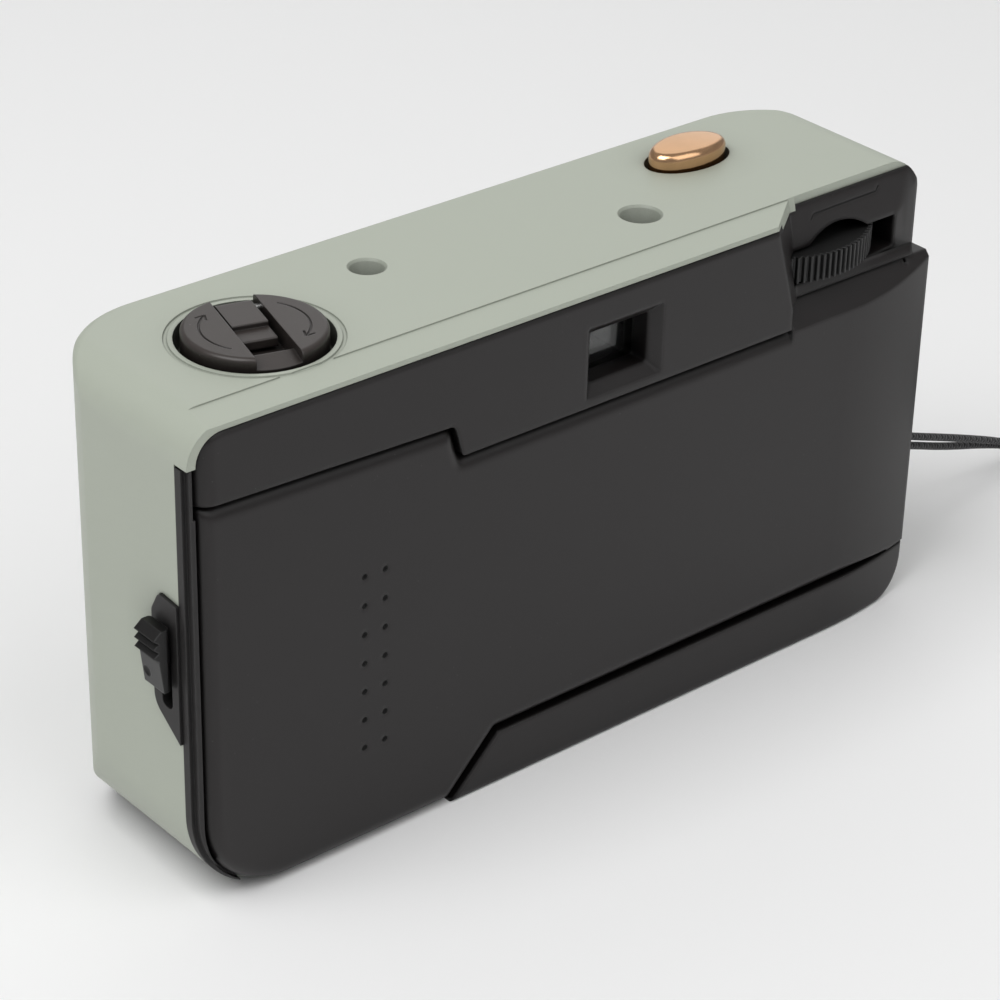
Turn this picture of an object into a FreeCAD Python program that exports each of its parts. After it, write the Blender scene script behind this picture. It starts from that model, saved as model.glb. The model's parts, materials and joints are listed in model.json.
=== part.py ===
"""Compact 35 mm film camera with a hinged back, a thumbwheel advance and a fold-flat rewind crank.

Millimetres. +Z is up, the lens looks along -Y, the film door is on the +Y side, and the rewind knob is at
the +X end. The origin lies under the middle of the body, on the surface that the camera stands on.
"""

import FreeCAD, Part
import math
import os

V = FreeCAD.Vector

# Body
WIDTH = 115.0
HEIGHT = 62.6
DEPTH = 30.2
WALL = 1.8
TOP_CORNER = 4.7
BASE_CORNER = 13.0
HINGE_END_BASE_CORNER = 5.5
FRONT_CORNER = 13.0
CORNER_SPILL = 0.4
EDGE_ROUND = 1.2

# Clearances
GAP = 0.3
RUNNING = 0.05

# Where the shell ends at the rear
SHELL_STOPS_SHORT = 2.4
TOP_STOPS_SHORT = 0.1
TOP_LIP = 0.6
COVER_REBATE = 1.2
CUT_BACK_BELOW_TOP = 4.6
CREASE_FROM_BACK = 4.6
CREASE_DROP = 0.45
CREASE_STEP = 0.15

# Rear panels
PANEL = 1.4
COVER_SEAM_DROP = 15.2
COVER_SEAM_LEFT_DROP = 11.0
COVER_SEAM_RISE = 1.3
SEAM_STEP_FROM_END = 37.7
BASE_SEAM_Z = 7.3
BASE_SEAM_FROM_END = 44.1
COVER_END_INSET = 1.2
COVER_END_ROUND = 2.6
DOOR_EDGE_INSET = 1.5
DOOR_EDGE_ROUND = 1.9
DOOR_CORNER = 11.5
DOOR_FOOT = 0.3
DOOR_RIM_DEPTH = 2.1
DOOR_REBATE = 0.4
CROWN_START_FROM_END = 14.5
CROWN_RADIUS = 64.0
HINGE_END_STANDS_OUT = 0.9

# Dimples in the door
DIMPLE_COLUMNS = 2
DIMPLE_ROWS = 7
DIMPLE_PITCH_X = 2.95
DIMPLE_PITCH_Z = 3.84
DIMPLE_RADIUS = 0.4
DIMPLE_DEPTH = 0.35
DIMPLES_FROM_END = 25.05
DIMPLES_BELOW_FILM = 4.9

# Film path
FILM_BELOW_MIDDLE = 1.3
FILM_FROM_BACK = 4.1
FRAME_FROM_ENDS = 79.0
FRAME_HEIGHT = 24.0
CHAMBER_Y = 1.0
CARTRIDGE_FROM_END = 19.2
CARTRIDGE_BORE = 13.0
CARTRIDGE_MARGIN = 15.0
SPOOL_FROM_END = 17.0
SPOOL_BORE = 10.2
CHAMBER_WALL = 1.0
CHASSIS_FLOOR = 1.2
SPROCKET_FROM_SPOOL = 14.3
SPROCKET_PITCH_R = 6.05
SPROCKET_TEETH = 8
SPROCKET_SPAN_UNDER_PLATE = 5.8
SPROCKET_DISC = 2.0
TOOTH_HEIGHT = 0.95
SHAFT_R = 1.5
SPOOL_R = 6.5
SPOOL_SLOTS = 3
SPOOL_SLOT = 1.6
PLATE_OVER_FRAME = 5.0
PLATE_BELOW_CEILING = 1.8
PLATE_THICK = 0.8
PLATE_OFF_RAILS = 0.3
LEAF_THICK = 0.3
LEAF_WIDTH = 8.0
RAIL_THICK = 0.8
SPOOL_FLANGE_UP = 4.0
CHASSIS_PART = 4.5

# Rewind knob and crank
KNOB_WELL_R = 9.1
KNOB_WELL_DEPTH = 3.2
KNOB_R = 8.3
KNOB_STANDS_OUT = 1.3
KNOB_RING_R = 9.95
CHANNEL_WIDTH = 5.3
CHANNEL_TURN = 16.0
CHANNEL_DEPTH = 2.4
CRANK_WIDTH = 4.3
CRANK_THICK = 1.9
CRANK_LENGTH = 9.3
CRANK_PIN_R = 0.5
CRANK_PIN_OUT = 6.3
REWIND_SHAFT_R = 2.6
REWIND_LIFT = 2.2
WASHER_R = 4.6
WASHER_THICK = 0.8
FORK_WIDTH = 1.6

# Thumbwheel
WHEEL_R = 13.6
WHEEL_THICK = 3.4
WHEEL_DROP = 10.3
WHEEL_RIBS = 96
RIB_DEPTH = 0.45
WHEEL_SHAFT_R = 2.5
WHEEL_SHAFT_DEPTH = 8.0

# Thumb recess
RECESS_FROM_END = 22.6
RECESS_LIP_IN = 2.4
RECESS_LIP_DROP = 10.7
RECESS_TOP_IN = 4.7
RECESS_SIDE_SLOPE = 1.36
SLOT_HEIGHT = 4.2
SLOT_RIGHT_FROM_END = 4.7
ARCH_FROM_END = 14.6
ARCH_RADIUS = 8.0
ARCH_OVER_WHEEL = 2.1
LIP_THICK = 1.6
SCOOP_HEIGHT = 3.6
SCOOP_DEPTH = 2.6

# Viewfinder
FINDER_X = -4.6
FINDER_DROP = 9.5
FINDER_WIDTH = 9.1
FINDER_HEIGHT = 6.5
FINDER_FRAME = 1.35
FINDER_PANE_DEPTH = 4.0
FINDER_WALL = 1.2
FRONT_PANE_WIDTH = 13.0
FRONT_PANE_HEIGHT = 8.4
PANE_THICK = 1.0

# Deep screw holes in the top
SCREW_X = 17.5
SCREW_FRONT_Y = -5.6
SCREW_REAR_Y = 2.8
SCREW_FRONT_R = 2.1
SCREW_REAR_R = 2.5
SCREW_SINK = 4.6
FUNNEL_DEPTH = 2.2
FUNNEL_NARROWS = 0.9
SCREW_BITE = 7.0
BASE_SCREW_BITE = 4.0
SCREW_BOSS_WALL = 1.2

# Shutter button
BUTTON_FROM_END = 24.0
BUTTON_Y = -6.2
BUTTON_LENGTH = 11.6
BUTTON_WIDTH = 6.6
BUTTON_THICK = 3.2
BUTTON_STANDS_OUT = 2.3
BUTTON_STROKE = 1.0
BUTTON_SPRING_ROOM = 0.5
BUTTON_WELL_GAP = 0.55
BUTTON_WELL_FLOOR = 0.9
BUTTON_STEM_R = 1.6
BUTTON_DOME_R = 40.0

# Release lever
LEVER_FROM_BUTTON = 11.5
LEVER_THICK = 0.85
LEVER_WIDTH = 3.0
LEVER_BARREL_R = 1.4
LEVER_PIN_R = 0.8
LEVER_DROP = 12.9

# Lens
BEZEL_R = 13.5
BEZEL_THICK = 2.2
BARREL_R = 9.0
BARREL_STANDS_OUT = 4.0
LENS_HOLE_R = 10.0
GLASS_R = 4.2
GLASS_CURVE = 10.0
APERTURE_R = 1.9

# Shutter
SHUTTER_SHEET = 0.6
BLADE_THICK = 0.5
BLADE_R = 3.2
BLADE_PIVOT_X = -8.0
BLADE_PIVOT_UP = 9.6
BLADE_TAIL = 12.8
BLADE_PIN_R = 0.9
BLADE_SWING = 35.0
SHUTTER_HALF_WIDTH = 15.0
SHUTTER_HALF_HEIGHT = 11.5
POST_R = 1.2

# Hinge
HINGE_FROM_BACK = 5.6
KNUCKLE_R = 2.2
PIN_R = 0.8
KNUCKLES = 5

# Latch
LATCH_ABOVE_FILM = 1.5
LATCH_HEIGHT = 18.0
LATCH_WIDTH = 4.8
LATCH_TRAVEL = 3.0
SLIDER_HEIGHT = 8.0
SLIDER_STANDS_OUT = 2.9
SLIDER_DROP = 3.0
SLIDER_FROM_REAR = 0.8
SLIDER_RIBS = 3
TONGUE_WIDTH = 1.6
TONGUE_DROP = 2.3
HOOK_WIDTH = 4.2
GUIDE_STANDS_OUT = 0.4
GUIDE_THICK = 2.1
CATCH_REACH = 1.1
CATCH_WIDTH = 1.2
HOOK_THICK = 1.2

# Base
RELEASE_R = 2.0
RELEASE_STROKE = 0.9
DIAL_R = 6.0
DIAL_THICK = 1.0
DIAL_NOTCHES = 12
DIAL_PIN_R = 1.2
DIAL_DIRECTION = -46.0
WINDOW_R = 2.4
BASE_SCREW_R = 1.8
SCREW_SHANK_R = 1.1

# Springs
WIRE_R = 0.2
COIL_SIDES = 12

# Strap
STRAP_Z = 17.8
STRAP_BAR_R = 0.8
STRAP_BAR_IN = 1.7
STRAP_POCKET = 7.2
STRAP_POCKET_DEPTH = 4.1
CORD_R = 0.55
CRIMP_R = 2.1
CRIMP_LENGTH = 7.0
WRIST_CORD_R = 1.0
WRIST_COIL_R = 11.0
WRIST_COIL_SPREAD = 3.0
WRIST_LEAD = 4.6

# The strap's thin cord, from the crimp round the bar and back
CORD_ROUTE = [
    (-103.0, 0.65, 1.95), (-98.0, 0.65, 3.0), (-91.5, 0.6, 6.05), (-82.6, 0.4, 9.4), (-72.25, 0.2, 12.98),
    (-63.4, 0.1, 16.5), (-58.3, 0.0, 18.5), (-55.45, 0.0, 19.44), (-54.2, 0.0, 18.32), (-54.56, 0.0, 16.68),
    (-57.4, 0.0, 15.75), (-62.7, -0.1, 14.28), (-71.8, -0.2, 11.6), (-81.2, -0.4, 8.1), (-90.5, -0.6, 5.3),
    (-98.0, -0.65, 2.5), (-103.0, -0.65, 1.85),
]

# Derived places
END_X = WIDTH / 2
FILM_Z = HEIGHT / 2 - FILM_BELOW_MIDDLE
LENS_Z = FILM_Z
LATCH_Z = FILM_Z + LATCH_ABOVE_FILM
FRAME_WIDTH = WIDTH - FRAME_FROM_ENDS
PLATE_WIDTH = FRAME_WIDTH + PLATE_OVER_FRAME
PART_X = FRAME_WIDTH / 2 + CHASSIS_PART
CARTRIDGE_LENGTH = HEIGHT - CARTRIDGE_MARGIN
CARTRIDGE_X = END_X - CARTRIDGE_FROM_END
SPOOL_X = -END_X + SPOOL_FROM_END
SPROCKET_X = SPOOL_X + SPROCKET_FROM_SPOOL
BUTTON_X = -END_X + BUTTON_FROM_END
LEVER_X = BUTTON_X + LEVER_FROM_BUTTON
DIMPLES_X = END_X - DIMPLES_FROM_END
DIMPLES_Z = FILM_Z - DIMPLES_BELOW_FILM
SEAM_STEP_X = END_X - SEAM_STEP_FROM_END
BASE_SEAM_X = END_X - BASE_SEAM_FROM_END
CROWN_START_X = -END_X + CROWN_START_FROM_END
COVER_SEAM_Z = HEIGHT - COVER_SEAM_DROP
COVER_SEAM_LEFT_Z = HEIGHT - COVER_SEAM_LEFT_DROP
WHEEL_Z = HEIGHT - WHEEL_DROP
RECESS_CORNER_X = -END_X + RECESS_FROM_END
RECESS_LIP_Y = DEPTH / 2 - RECESS_LIP_IN
RECESS_LIP_Z = HEIGHT - RECESS_LIP_DROP
RECESS_TOP_Y = DEPTH / 2 - RECESS_TOP_IN
SLOT_RIGHT_X = -END_X + SLOT_RIGHT_FROM_END
ARCH_X = -END_X + ARCH_FROM_END
FINDER_Z = HEIGHT - FINDER_DROP
BACK_Y = DEPTH / 2
FRONT_Y = -DEPTH / 2
SHELL_REAR_Y = BACK_Y - SHELL_STOPS_SHORT
TOP_REAR_Y = BACK_Y - TOP_STOPS_SHORT
CUT_BACK_Z = HEIGHT - CUT_BACK_BELOW_TOP
CREASE_Y = BACK_Y - CREASE_FROM_BACK
COVER_TOP_Z = HEIGHT - CREASE_DROP - TOP_LIP - RUNNING
COVER_SEAT_Y = TOP_REAR_Y - COVER_REBATE
FILM_Y = BACK_Y - FILM_FROM_BACK
DOOR_INNER_Y = BACK_Y - PANEL
REBATE_Y = BACK_Y - DOOR_RIM_DEPTH + DOOR_REBATE
CHASSIS_INSET = WALL + GAP
CHASSIS_LOW_Z = FILM_Z - CARTRIDGE_LENGTH / 2 - CHASSIS_FLOOR
CHASSIS_TOP_Z = FILM_Z + CARTRIDGE_LENGTH / 2
WELL_FLOOR_Z = HEIGHT - KNOB_WELL_DEPTH
GUIDE_OUTER_X = END_X + GUIDE_STANDS_OUT
GUIDE_INNER_X = GUIDE_OUTER_X - GUIDE_THICK
TONGUE_Y = SHELL_REAR_Y - LATCH_WIDTH / 2 + 0.2
HOOK_Y = TONGUE_Y - HOOK_THICK - GAP
SLIDER_TOP_Z = LATCH_Z + LATCH_HEIGHT / 2 - SLIDER_DROP
SLIDER_LOW_Z = SLIDER_TOP_Z - SLIDER_HEIGHT
HINGE_X = -(END_X + HINGE_END_STANDS_OUT) + KNUCKLE_R
HINGE_Y = BACK_Y - HINGE_FROM_BACK
DOOR_LOW_Z = BASE_SEAM_Z + GAP
DOOR_HIGH_Z = RECESS_LIP_Z - LIP_THICK - GAP
SCOOP_X = RECESS_CORNER_X + 2.4
SPROCKET_Y = FILM_Y - SPROCKET_PITCH_R
CEILING_Z = COVER_SEAM_Z + PANEL
PLATE_HEIGHT = 2 * (CEILING_Z - FILM_Z - PLATE_BELOW_CEILING)
SPROCKET_SPAN = PLATE_HEIGHT - SPROCKET_SPAN_UNDER_PLATE
SHUTTER_Y = FRONT_Y + CHASSIS_INSET + 3.6
DIAL_REACH = DIAL_R + SHAFT_R + GAP
DIAL_X = SPOOL_X + DIAL_REACH * math.cos(math.radians(DIAL_DIRECTION))
DIAL_Y = CHAMBER_Y + DIAL_REACH * math.sin(math.radians(DIAL_DIRECTION))
DIAL_Z = WALL + 1.2
BUTTON_TOP_Z = HEIGHT + BUTTON_STANDS_OUT
BUTTON_FOOT_Z = BUTTON_TOP_Z - BUTTON_THICK
BUTTON_FLOOR_Z = BUTTON_FOOT_Z - BUTTON_STROKE - BUTTON_SPRING_ROOM
LEVER_TOP_Z = BUTTON_FLOOR_Z - BUTTON_WELL_FLOOR - GAP
LEVER_Z = LEVER_TOP_Z - LEVER_THICK / 2
BLADE_PIVOT_Z = LENS_Z + BLADE_PIVOT_UP
CRIMP_X = CORD_ROUTE[0][0]


def box(x0, x1, y0, y1, z0, z1):
    """A block between two corners."""
    return Part.makeBox(x1 - x0, y1 - y0, z1 - z0, V(x0, y0, z0))


def upright(radius, x, y, z0, z1):
    """A cylinder standing along Z."""
    return Part.makeCylinder(radius, z1 - z0, V(x, y, z0))


def rearward(radius, x, z, y0, y1):
    """A cylinder lying along Y."""
    return Part.makeCylinder(radius, y1 - y0, V(x, y0, z), V(0, 1, 0))


def face_of(corners, radii):
    """The face inside straight runs whose corners are rounded by the given radii."""
    count = len(corners)
    entries = []
    middles = []
    exits = []
    for i in range(count):
        back = (corners[i - 1] - corners[i]).normalize()
        ahead = (corners[(i + 1) % count] - corners[i]).normalize()
        half = back.getAngle(ahead) / 2
        reach = radii[i] / math.tan(half)
        towards_centre = (back + ahead).normalize() if radii[i] > 0 else V()
        entries.append(corners[i] + back * reach)
        middles.append(corners[i] + towards_centre * (radii[i] / math.sin(half) - radii[i]))
        exits.append(corners[i] + ahead * reach)
    edges = []
    for i in range(count):
        if radii[i] > 0:
            edges.append(Part.Arc(entries[i], middles[i], exits[i]).toShape())
        if (entries[(i + 1) % count] - exits[i]).Length > 1e-6:
            edges.append(Part.LineSegment(exits[i], entries[(i + 1) % count]).toShape())
    return Part.Face(Part.Wire(edges))


def slab_along_y(points, radii, y0, y1):
    """An outline of (x, z) points pushed from y0 to y1."""
    return face_of([V(x, y0, z) for x, z in points], radii).extrude(V(0, y1 - y0, 0))


def slab_along_z(points, radii, z0, z1):
    """An outline of (x, y) points pushed from z0 to z1."""
    return face_of([V(x, y, z0) for x, y in points], radii).extrude(V(0, 0, z1 - z0))


def slab_along_x(points, radii, x0, x1):
    """An outline of (y, z) points pushed from x0 to x1."""
    return face_of([V(x0, y, z) for y, z in points], radii).extrude(V(x1 - x0, 0, 0))


def rectangle(x0, x1, y0, y1):
    """Corner points of a rectangle, counterclockwise."""
    return [(x0, y0), (x1, y0), (x1, y1), (x0, y1)]


def spun(points, x, y):
    """A profile of (radius, z) points turned about an upright axis."""
    wire = Part.makePolygon([V(x + r, y, z) for r, z in points + points[:1]])
    return Part.Face(wire).revolve(V(x, y, 0), V(0, 0, 1), 360)


def spun_about_lens(points):
    """A profile of (radius, y) points turned about the lens axis."""
    wire = Part.makePolygon([V(r, y, LENS_Z) for r, y in points + points[:1]])
    return Part.Face(wire).revolve(V(0, 0, LENS_Z), V(0, 1, 0), 360)


def rounded_edges(shape, radius, wanted):
    """The shape with the edges that pass the test rounded."""
    return shape.makeFillet(radius, [edge for edge in shape.Edges if wanted(edge.BoundBox)])


def body_form(inset, front, rear):
    """The camera's rounded outline, drawn in by the inset, between two depths."""
    side = END_X - inset
    base = BASE_CORNER - inset
    hinge_base = max(HINGE_END_BASE_CORNER - inset, 0.2)
    top = max(TOP_CORNER - inset, 0.2)
    elevation = slab_along_y(
        rectangle(-side, side, inset, HEIGHT - inset), [hinge_base, base, top, top], front, rear)
    corner = FRONT_CORNER - inset + CORNER_SPILL
    wide = side + CORNER_SPILL
    plan = slab_along_z(
        rectangle(-wide, wide, FRONT_Y + inset, BACK_Y + WALL), [corner, corner, 0, 0], 0, HEIGHT)
    return elevation.common(plan)


def crowned_plan(drop, end_inset, front, z0, z1):
    """Everything ahead of the door's back surface, which curves forward towards the hinge end."""
    back = BACK_Y - drop
    end = -(END_X + HINGE_END_STANDS_OUT) + end_inset
    radius = CROWN_RADIUS - drop
    run = CROWN_START_X - end
    middle = run / 2
    end_back = back - radius + math.sqrt(radius ** 2 - run ** 2)
    edges = [
        Part.LineSegment(V(END_X + WALL, front, z0), V(END_X + WALL, back, z0)).toShape(),
        Part.LineSegment(V(END_X + WALL, back, z0), V(CROWN_START_X, back, z0)).toShape(),
        Part.Arc(
            V(CROWN_START_X, back, z0),
            V(CROWN_START_X - middle, back - radius + math.sqrt(radius ** 2 - middle ** 2), z0),
            V(end, end_back, z0)).toShape(),
        Part.LineSegment(V(end, end_back, z0), V(end, front, z0)).toShape(),
        Part.LineSegment(V(end, front, z0), V(END_X + WALL, front, z0)).toShape(),
    ]
    return Part.Face(Part.Wire(edges)).extrude(V(0, 0, z1 - z0))


def recess_wall_y(z):
    """Depth of the thumb recess wall, which leans forward towards the top."""
    lean = (RECESS_LIP_Y - RECESS_TOP_Y) / (HEIGHT - RECESS_LIP_Z)
    return RECESS_LIP_Y - (z - RECESS_LIP_Z) * lean


def thumb_recess():
    """The space that the thumb recess takes out of the cover and of the top's rear edge."""
    behind = BACK_Y + WALL
    sections = []
    for z in (RECESS_LIP_Z - LIP_THICK - GAP, HEIGHT + WALL):
        wall = recess_wall_y(z)
        side = RECESS_CORNER_X + (behind - wall) * RECESS_SIDE_SLOPE
        far = -END_X - 2 * WALL
        corners = [V(far, wall, z), V(RECESS_CORNER_X, wall, z), V(side, behind, z), V(far, behind, z)]
        sections.append(Part.makePolygon(corners + corners[:1]))
    return Part.makeLoft(sections, True, True)


def front_shell():
    """Green moulding: front, top, both ends and base in one piece, open at the rear."""
    outer = body_form(0, FRONT_Y, TOP_REAR_Y)
    outer = rounded_edges(
        outer, EDGE_ROUND,
        lambda b: b.YMax < FRONT_Y + FRONT_CORNER and not (b.YMax < FRONT_Y + 0.01 and b.XLength < 0.01))
    shell = outer.cut(body_form(WALL, FRONT_Y + WALL, BACK_Y))

    well_cup = upright(KNOB_WELL_R + WALL / 2, CARTRIDGE_X, CHAMBER_Y, WELL_FLOOR_Z - WALL / 2, HEIGHT - WALL / 2)
    shell = shell.fuse(well_cup)
    for x, y, r in screw_places():
        shell = shell.fuse(upright(r + SCREW_BOSS_WALL, x, y, HEIGHT - SCREW_SINK - WALL, HEIGHT - WALL / 2))
    shell = shell.fuse(button_outline(
        BUTTON_WELL_GAP + WALL / 2, BUTTON_FLOOR_Z - BUTTON_WELL_FLOOR, HEIGHT - WALL / 2))
    shell = shell.fuse(lever_lugs())
    strap_block = box(
        -END_X + WALL / 2, -END_X + STRAP_POCKET_DEPTH + 0.9, -STRAP_POCKET / 2 - WALL, STRAP_POCKET / 2 + WALL,
        STRAP_Z - STRAP_POCKET / 2 - WALL, STRAP_Z + STRAP_POCKET / 2 + WALL)
    shell = shell.fuse(strap_block.common(body_form(WALL / 2, FRONT_Y, BACK_Y)))

    cuts = [
        box(-END_X - WALL, END_X + WALL, SHELL_REAR_Y, BACK_Y + WALL, -WALL, CUT_BACK_Z),
        box(-END_X - WALL, -END_X + 3 * WALL, HINGE_Y - KNUCKLE_R - GAP, BACK_Y,
            DOOR_LOW_Z - 2 * GAP, RECESS_LIP_Z - LIP_THICK),
        box(-END_X - WALL, RECESS_CORNER_X - 1, recess_wall_y(HEIGHT), BACK_Y, DOOR_LOW_Z, HEIGHT + WALL),
        thumb_recess(),
        slab_along_x(
            [(CREASE_Y, HEIGHT - CREASE_STEP), (BACK_Y, HEIGHT - CREASE_DROP), (BACK_Y, HEIGHT + WALL),
             (CREASE_Y, HEIGHT + WALL)],
            [0, 0, 0, 0], -END_X, END_X),
        upright(KNOB_WELL_R, CARTRIDGE_X, CHAMBER_Y, WELL_FLOOR_Z, HEIGHT + WALL),
        upright(REWIND_SHAFT_R + RUNNING, CARTRIDGE_X, CHAMBER_Y, WELL_FLOOR_Z - WALL, HEIGHT),
        spun([(KNOB_RING_R - 0.2, HEIGHT - 0.2), (KNOB_RING_R + 0.2, HEIGHT - 0.2),
              (KNOB_RING_R + 0.3, HEIGHT + 0.2), (KNOB_RING_R - 0.3, HEIGHT + 0.2)], CARTRIDGE_X, CHAMBER_Y),
        button_outline(BUTTON_WELL_GAP, BUTTON_FLOOR_Z, HEIGHT + WALL),
        upright(BUTTON_STEM_R + RUNNING, BUTTON_X, BUTTON_Y, HEIGHT - 3 * WALL, HEIGHT),
        rearward(LENS_HOLE_R, 0, LENS_Z, FRONT_Y - WALL, FRONT_Y + 2 * WALL),
        front_pane_outline(0, FRONT_Y - WALL, FRONT_Y + 2 * WALL),
        box(-END_X - WALL, -END_X + STRAP_POCKET_DEPTH, -STRAP_POCKET / 2, STRAP_POCKET / 2,
            STRAP_Z - STRAP_POCKET / 2, STRAP_Z + STRAP_POCKET / 2),
        strap_pin(),
        upright(RELEASE_R + RUNNING, SPROCKET_X, SPROCKET_Y, -WALL, 2 * WALL),
        upright(WINDOW_R, *dial_window_place(), -WALL, 2 * WALL),
        latch_outline(0, END_X - 2 * WALL, END_X + WALL),
        cover_outline(RUNNING, COVER_SEAT_Y, BACK_Y + WALL),
    ]
    for x, y, r in screw_places():
        bore = r - FUNNEL_NARROWS
        cuts.append(upright(bore, x, y, HEIGHT - SCREW_SINK, HEIGHT + WALL))
        cuts.append(spun([
            (0, HEIGHT - FUNNEL_DEPTH), (bore, HEIGHT - FUNNEL_DEPTH), (r, HEIGHT - GAP),
            (r + GAP, HEIGHT + RUNNING), (0, HEIGHT + RUNNING)], x, y))
        cuts.append(upright(SCREW_SHANK_R + RUNNING, x, y, HEIGHT - SCREW_SINK - 2 * WALL, HEIGHT))
    for x, y in base_screw_places():
        cuts.append(upright(BASE_SCREW_R + GAP, x, y, -WALL, WALL / 2))
        cuts.append(upright(SCREW_SHANK_R + RUNNING, x, y, 0, 2 * WALL))
    for cut in cuts:
        shell = shell.cut(cut)
    return shell


def screw_places():
    """Centre and radius of each deep hole in the top."""
    return [(SCREW_X, SCREW_FRONT_Y, SCREW_FRONT_R), (-SCREW_X, SCREW_REAR_Y, SCREW_REAR_R)]


def base_screw_places():
    """Centres of the two screws that come up through the base."""
    return [(SCREW_X, -FRONT_CORNER / 2), (-SCREW_X, -FRONT_CORNER / 2)]


def dial_window_place():
    """Centre of the window over the counter dial's numbers."""
    return DIAL_X, DIAL_Y - DIAL_R + WINDOW_R + GAP


def lever_lugs():
    """Two lugs under the top that carry the release lever's pin."""
    half = LEVER_BARREL_R + 0.2
    front = BUTTON_Y - LEVER_WIDTH / 2 - GAP
    rear = BUTTON_Y + LEVER_WIDTH / 2 + GAP
    low = LEVER_Z - half
    lugs = box(LEVER_X - half, LEVER_X + half, front - WALL, front, low, HEIGHT - WALL / 2)
    lugs = lugs.fuse(box(LEVER_X - half, LEVER_X + half, rear, rear + WALL, low, HEIGHT - WALL / 2))
    return lugs.cut(rearward(LEVER_PIN_R + RUNNING, LEVER_X, LEVER_Z, FRONT_Y, BACK_Y))


def button_outline(growth, z0, z1):
    """The button's oval, grown all round, between two heights."""
    half = BUTTON_LENGTH / 2 + growth
    side = BUTTON_WIDTH / 2 + growth
    oval = Part.Ellipse(V(BUTTON_X, BUTTON_Y, z0), half, side)
    return Part.Face(Part.Wire([oval.toShape()])).extrude(V(0, 0, z1 - z0))


def front_pane_outline(growth, y0, y1):
    """The front viewfinder pane's rounded rectangle, grown all round."""
    x = FRONT_PANE_WIDTH / 2 + growth
    z = FRONT_PANE_HEIGHT / 2 + growth
    return slab_along_y(
        rectangle(FINDER_X - x, FINDER_X + x, FINDER_Z - z, FINDER_Z + z), [1.0 + growth] * 4, y0, y1)


def latch_outline(inset, x0, x1):
    """The lobed plate in the +X end that the latch slides on."""
    front = SHELL_REAR_Y - LATCH_WIDTH + inset
    rear = SHELL_REAR_Y
    low = LATCH_Z - LATCH_HEIGHT / 2 + inset
    high = LATCH_Z + LATCH_HEIGHT / 2 - inset
    points = [(rear, low), (rear, high), (front + 1.4, high + 0.3), (front, high - 2.2), (front, low + 3.6)]
    return slab_along_x(points, [0, 0, 0.9, 1.5, 2.6], x0, x1)


def door_outline(gap):
    """Corner points and radii of the door's rear outline, drawn in by the gap."""
    left = END_X - DOOR_EDGE_INSET - gap
    slant = BASE_SEAM_X + BASE_SEAM_Z - DOOR_FOOT
    step = SEAM_STEP_X + gap
    points = [
        (left, DOOR_FOOT + gap),
        (left, COVER_SEAM_LEFT_Z + COVER_SEAM_RISE - GAP - gap),
        (step + 1.2, COVER_SEAM_LEFT_Z - GAP - gap),
        (step, COVER_SEAM_Z - GAP - gap),
        (SCOOP_X - gap, COVER_SEAM_Z - GAP - gap),
        (SCOOP_X - gap, DOOR_HIGH_Z - gap),
        (-END_X - HINGE_END_STANDS_OUT - WALL, DOOR_HIGH_Z - gap),
        (-END_X - HINGE_END_STANDS_OUT - WALL, DOOR_LOW_Z + gap),
        (BASE_SEAM_X + GAP, DOOR_LOW_Z + gap),
        (slant + GAP, DOOR_FOOT + gap),
    ]
    radii = [DOOR_CORNER - gap, 0.8, 1.2, 0.2, 0, 0, 0, 0, 0.3, 0.3]
    return points, radii


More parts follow.
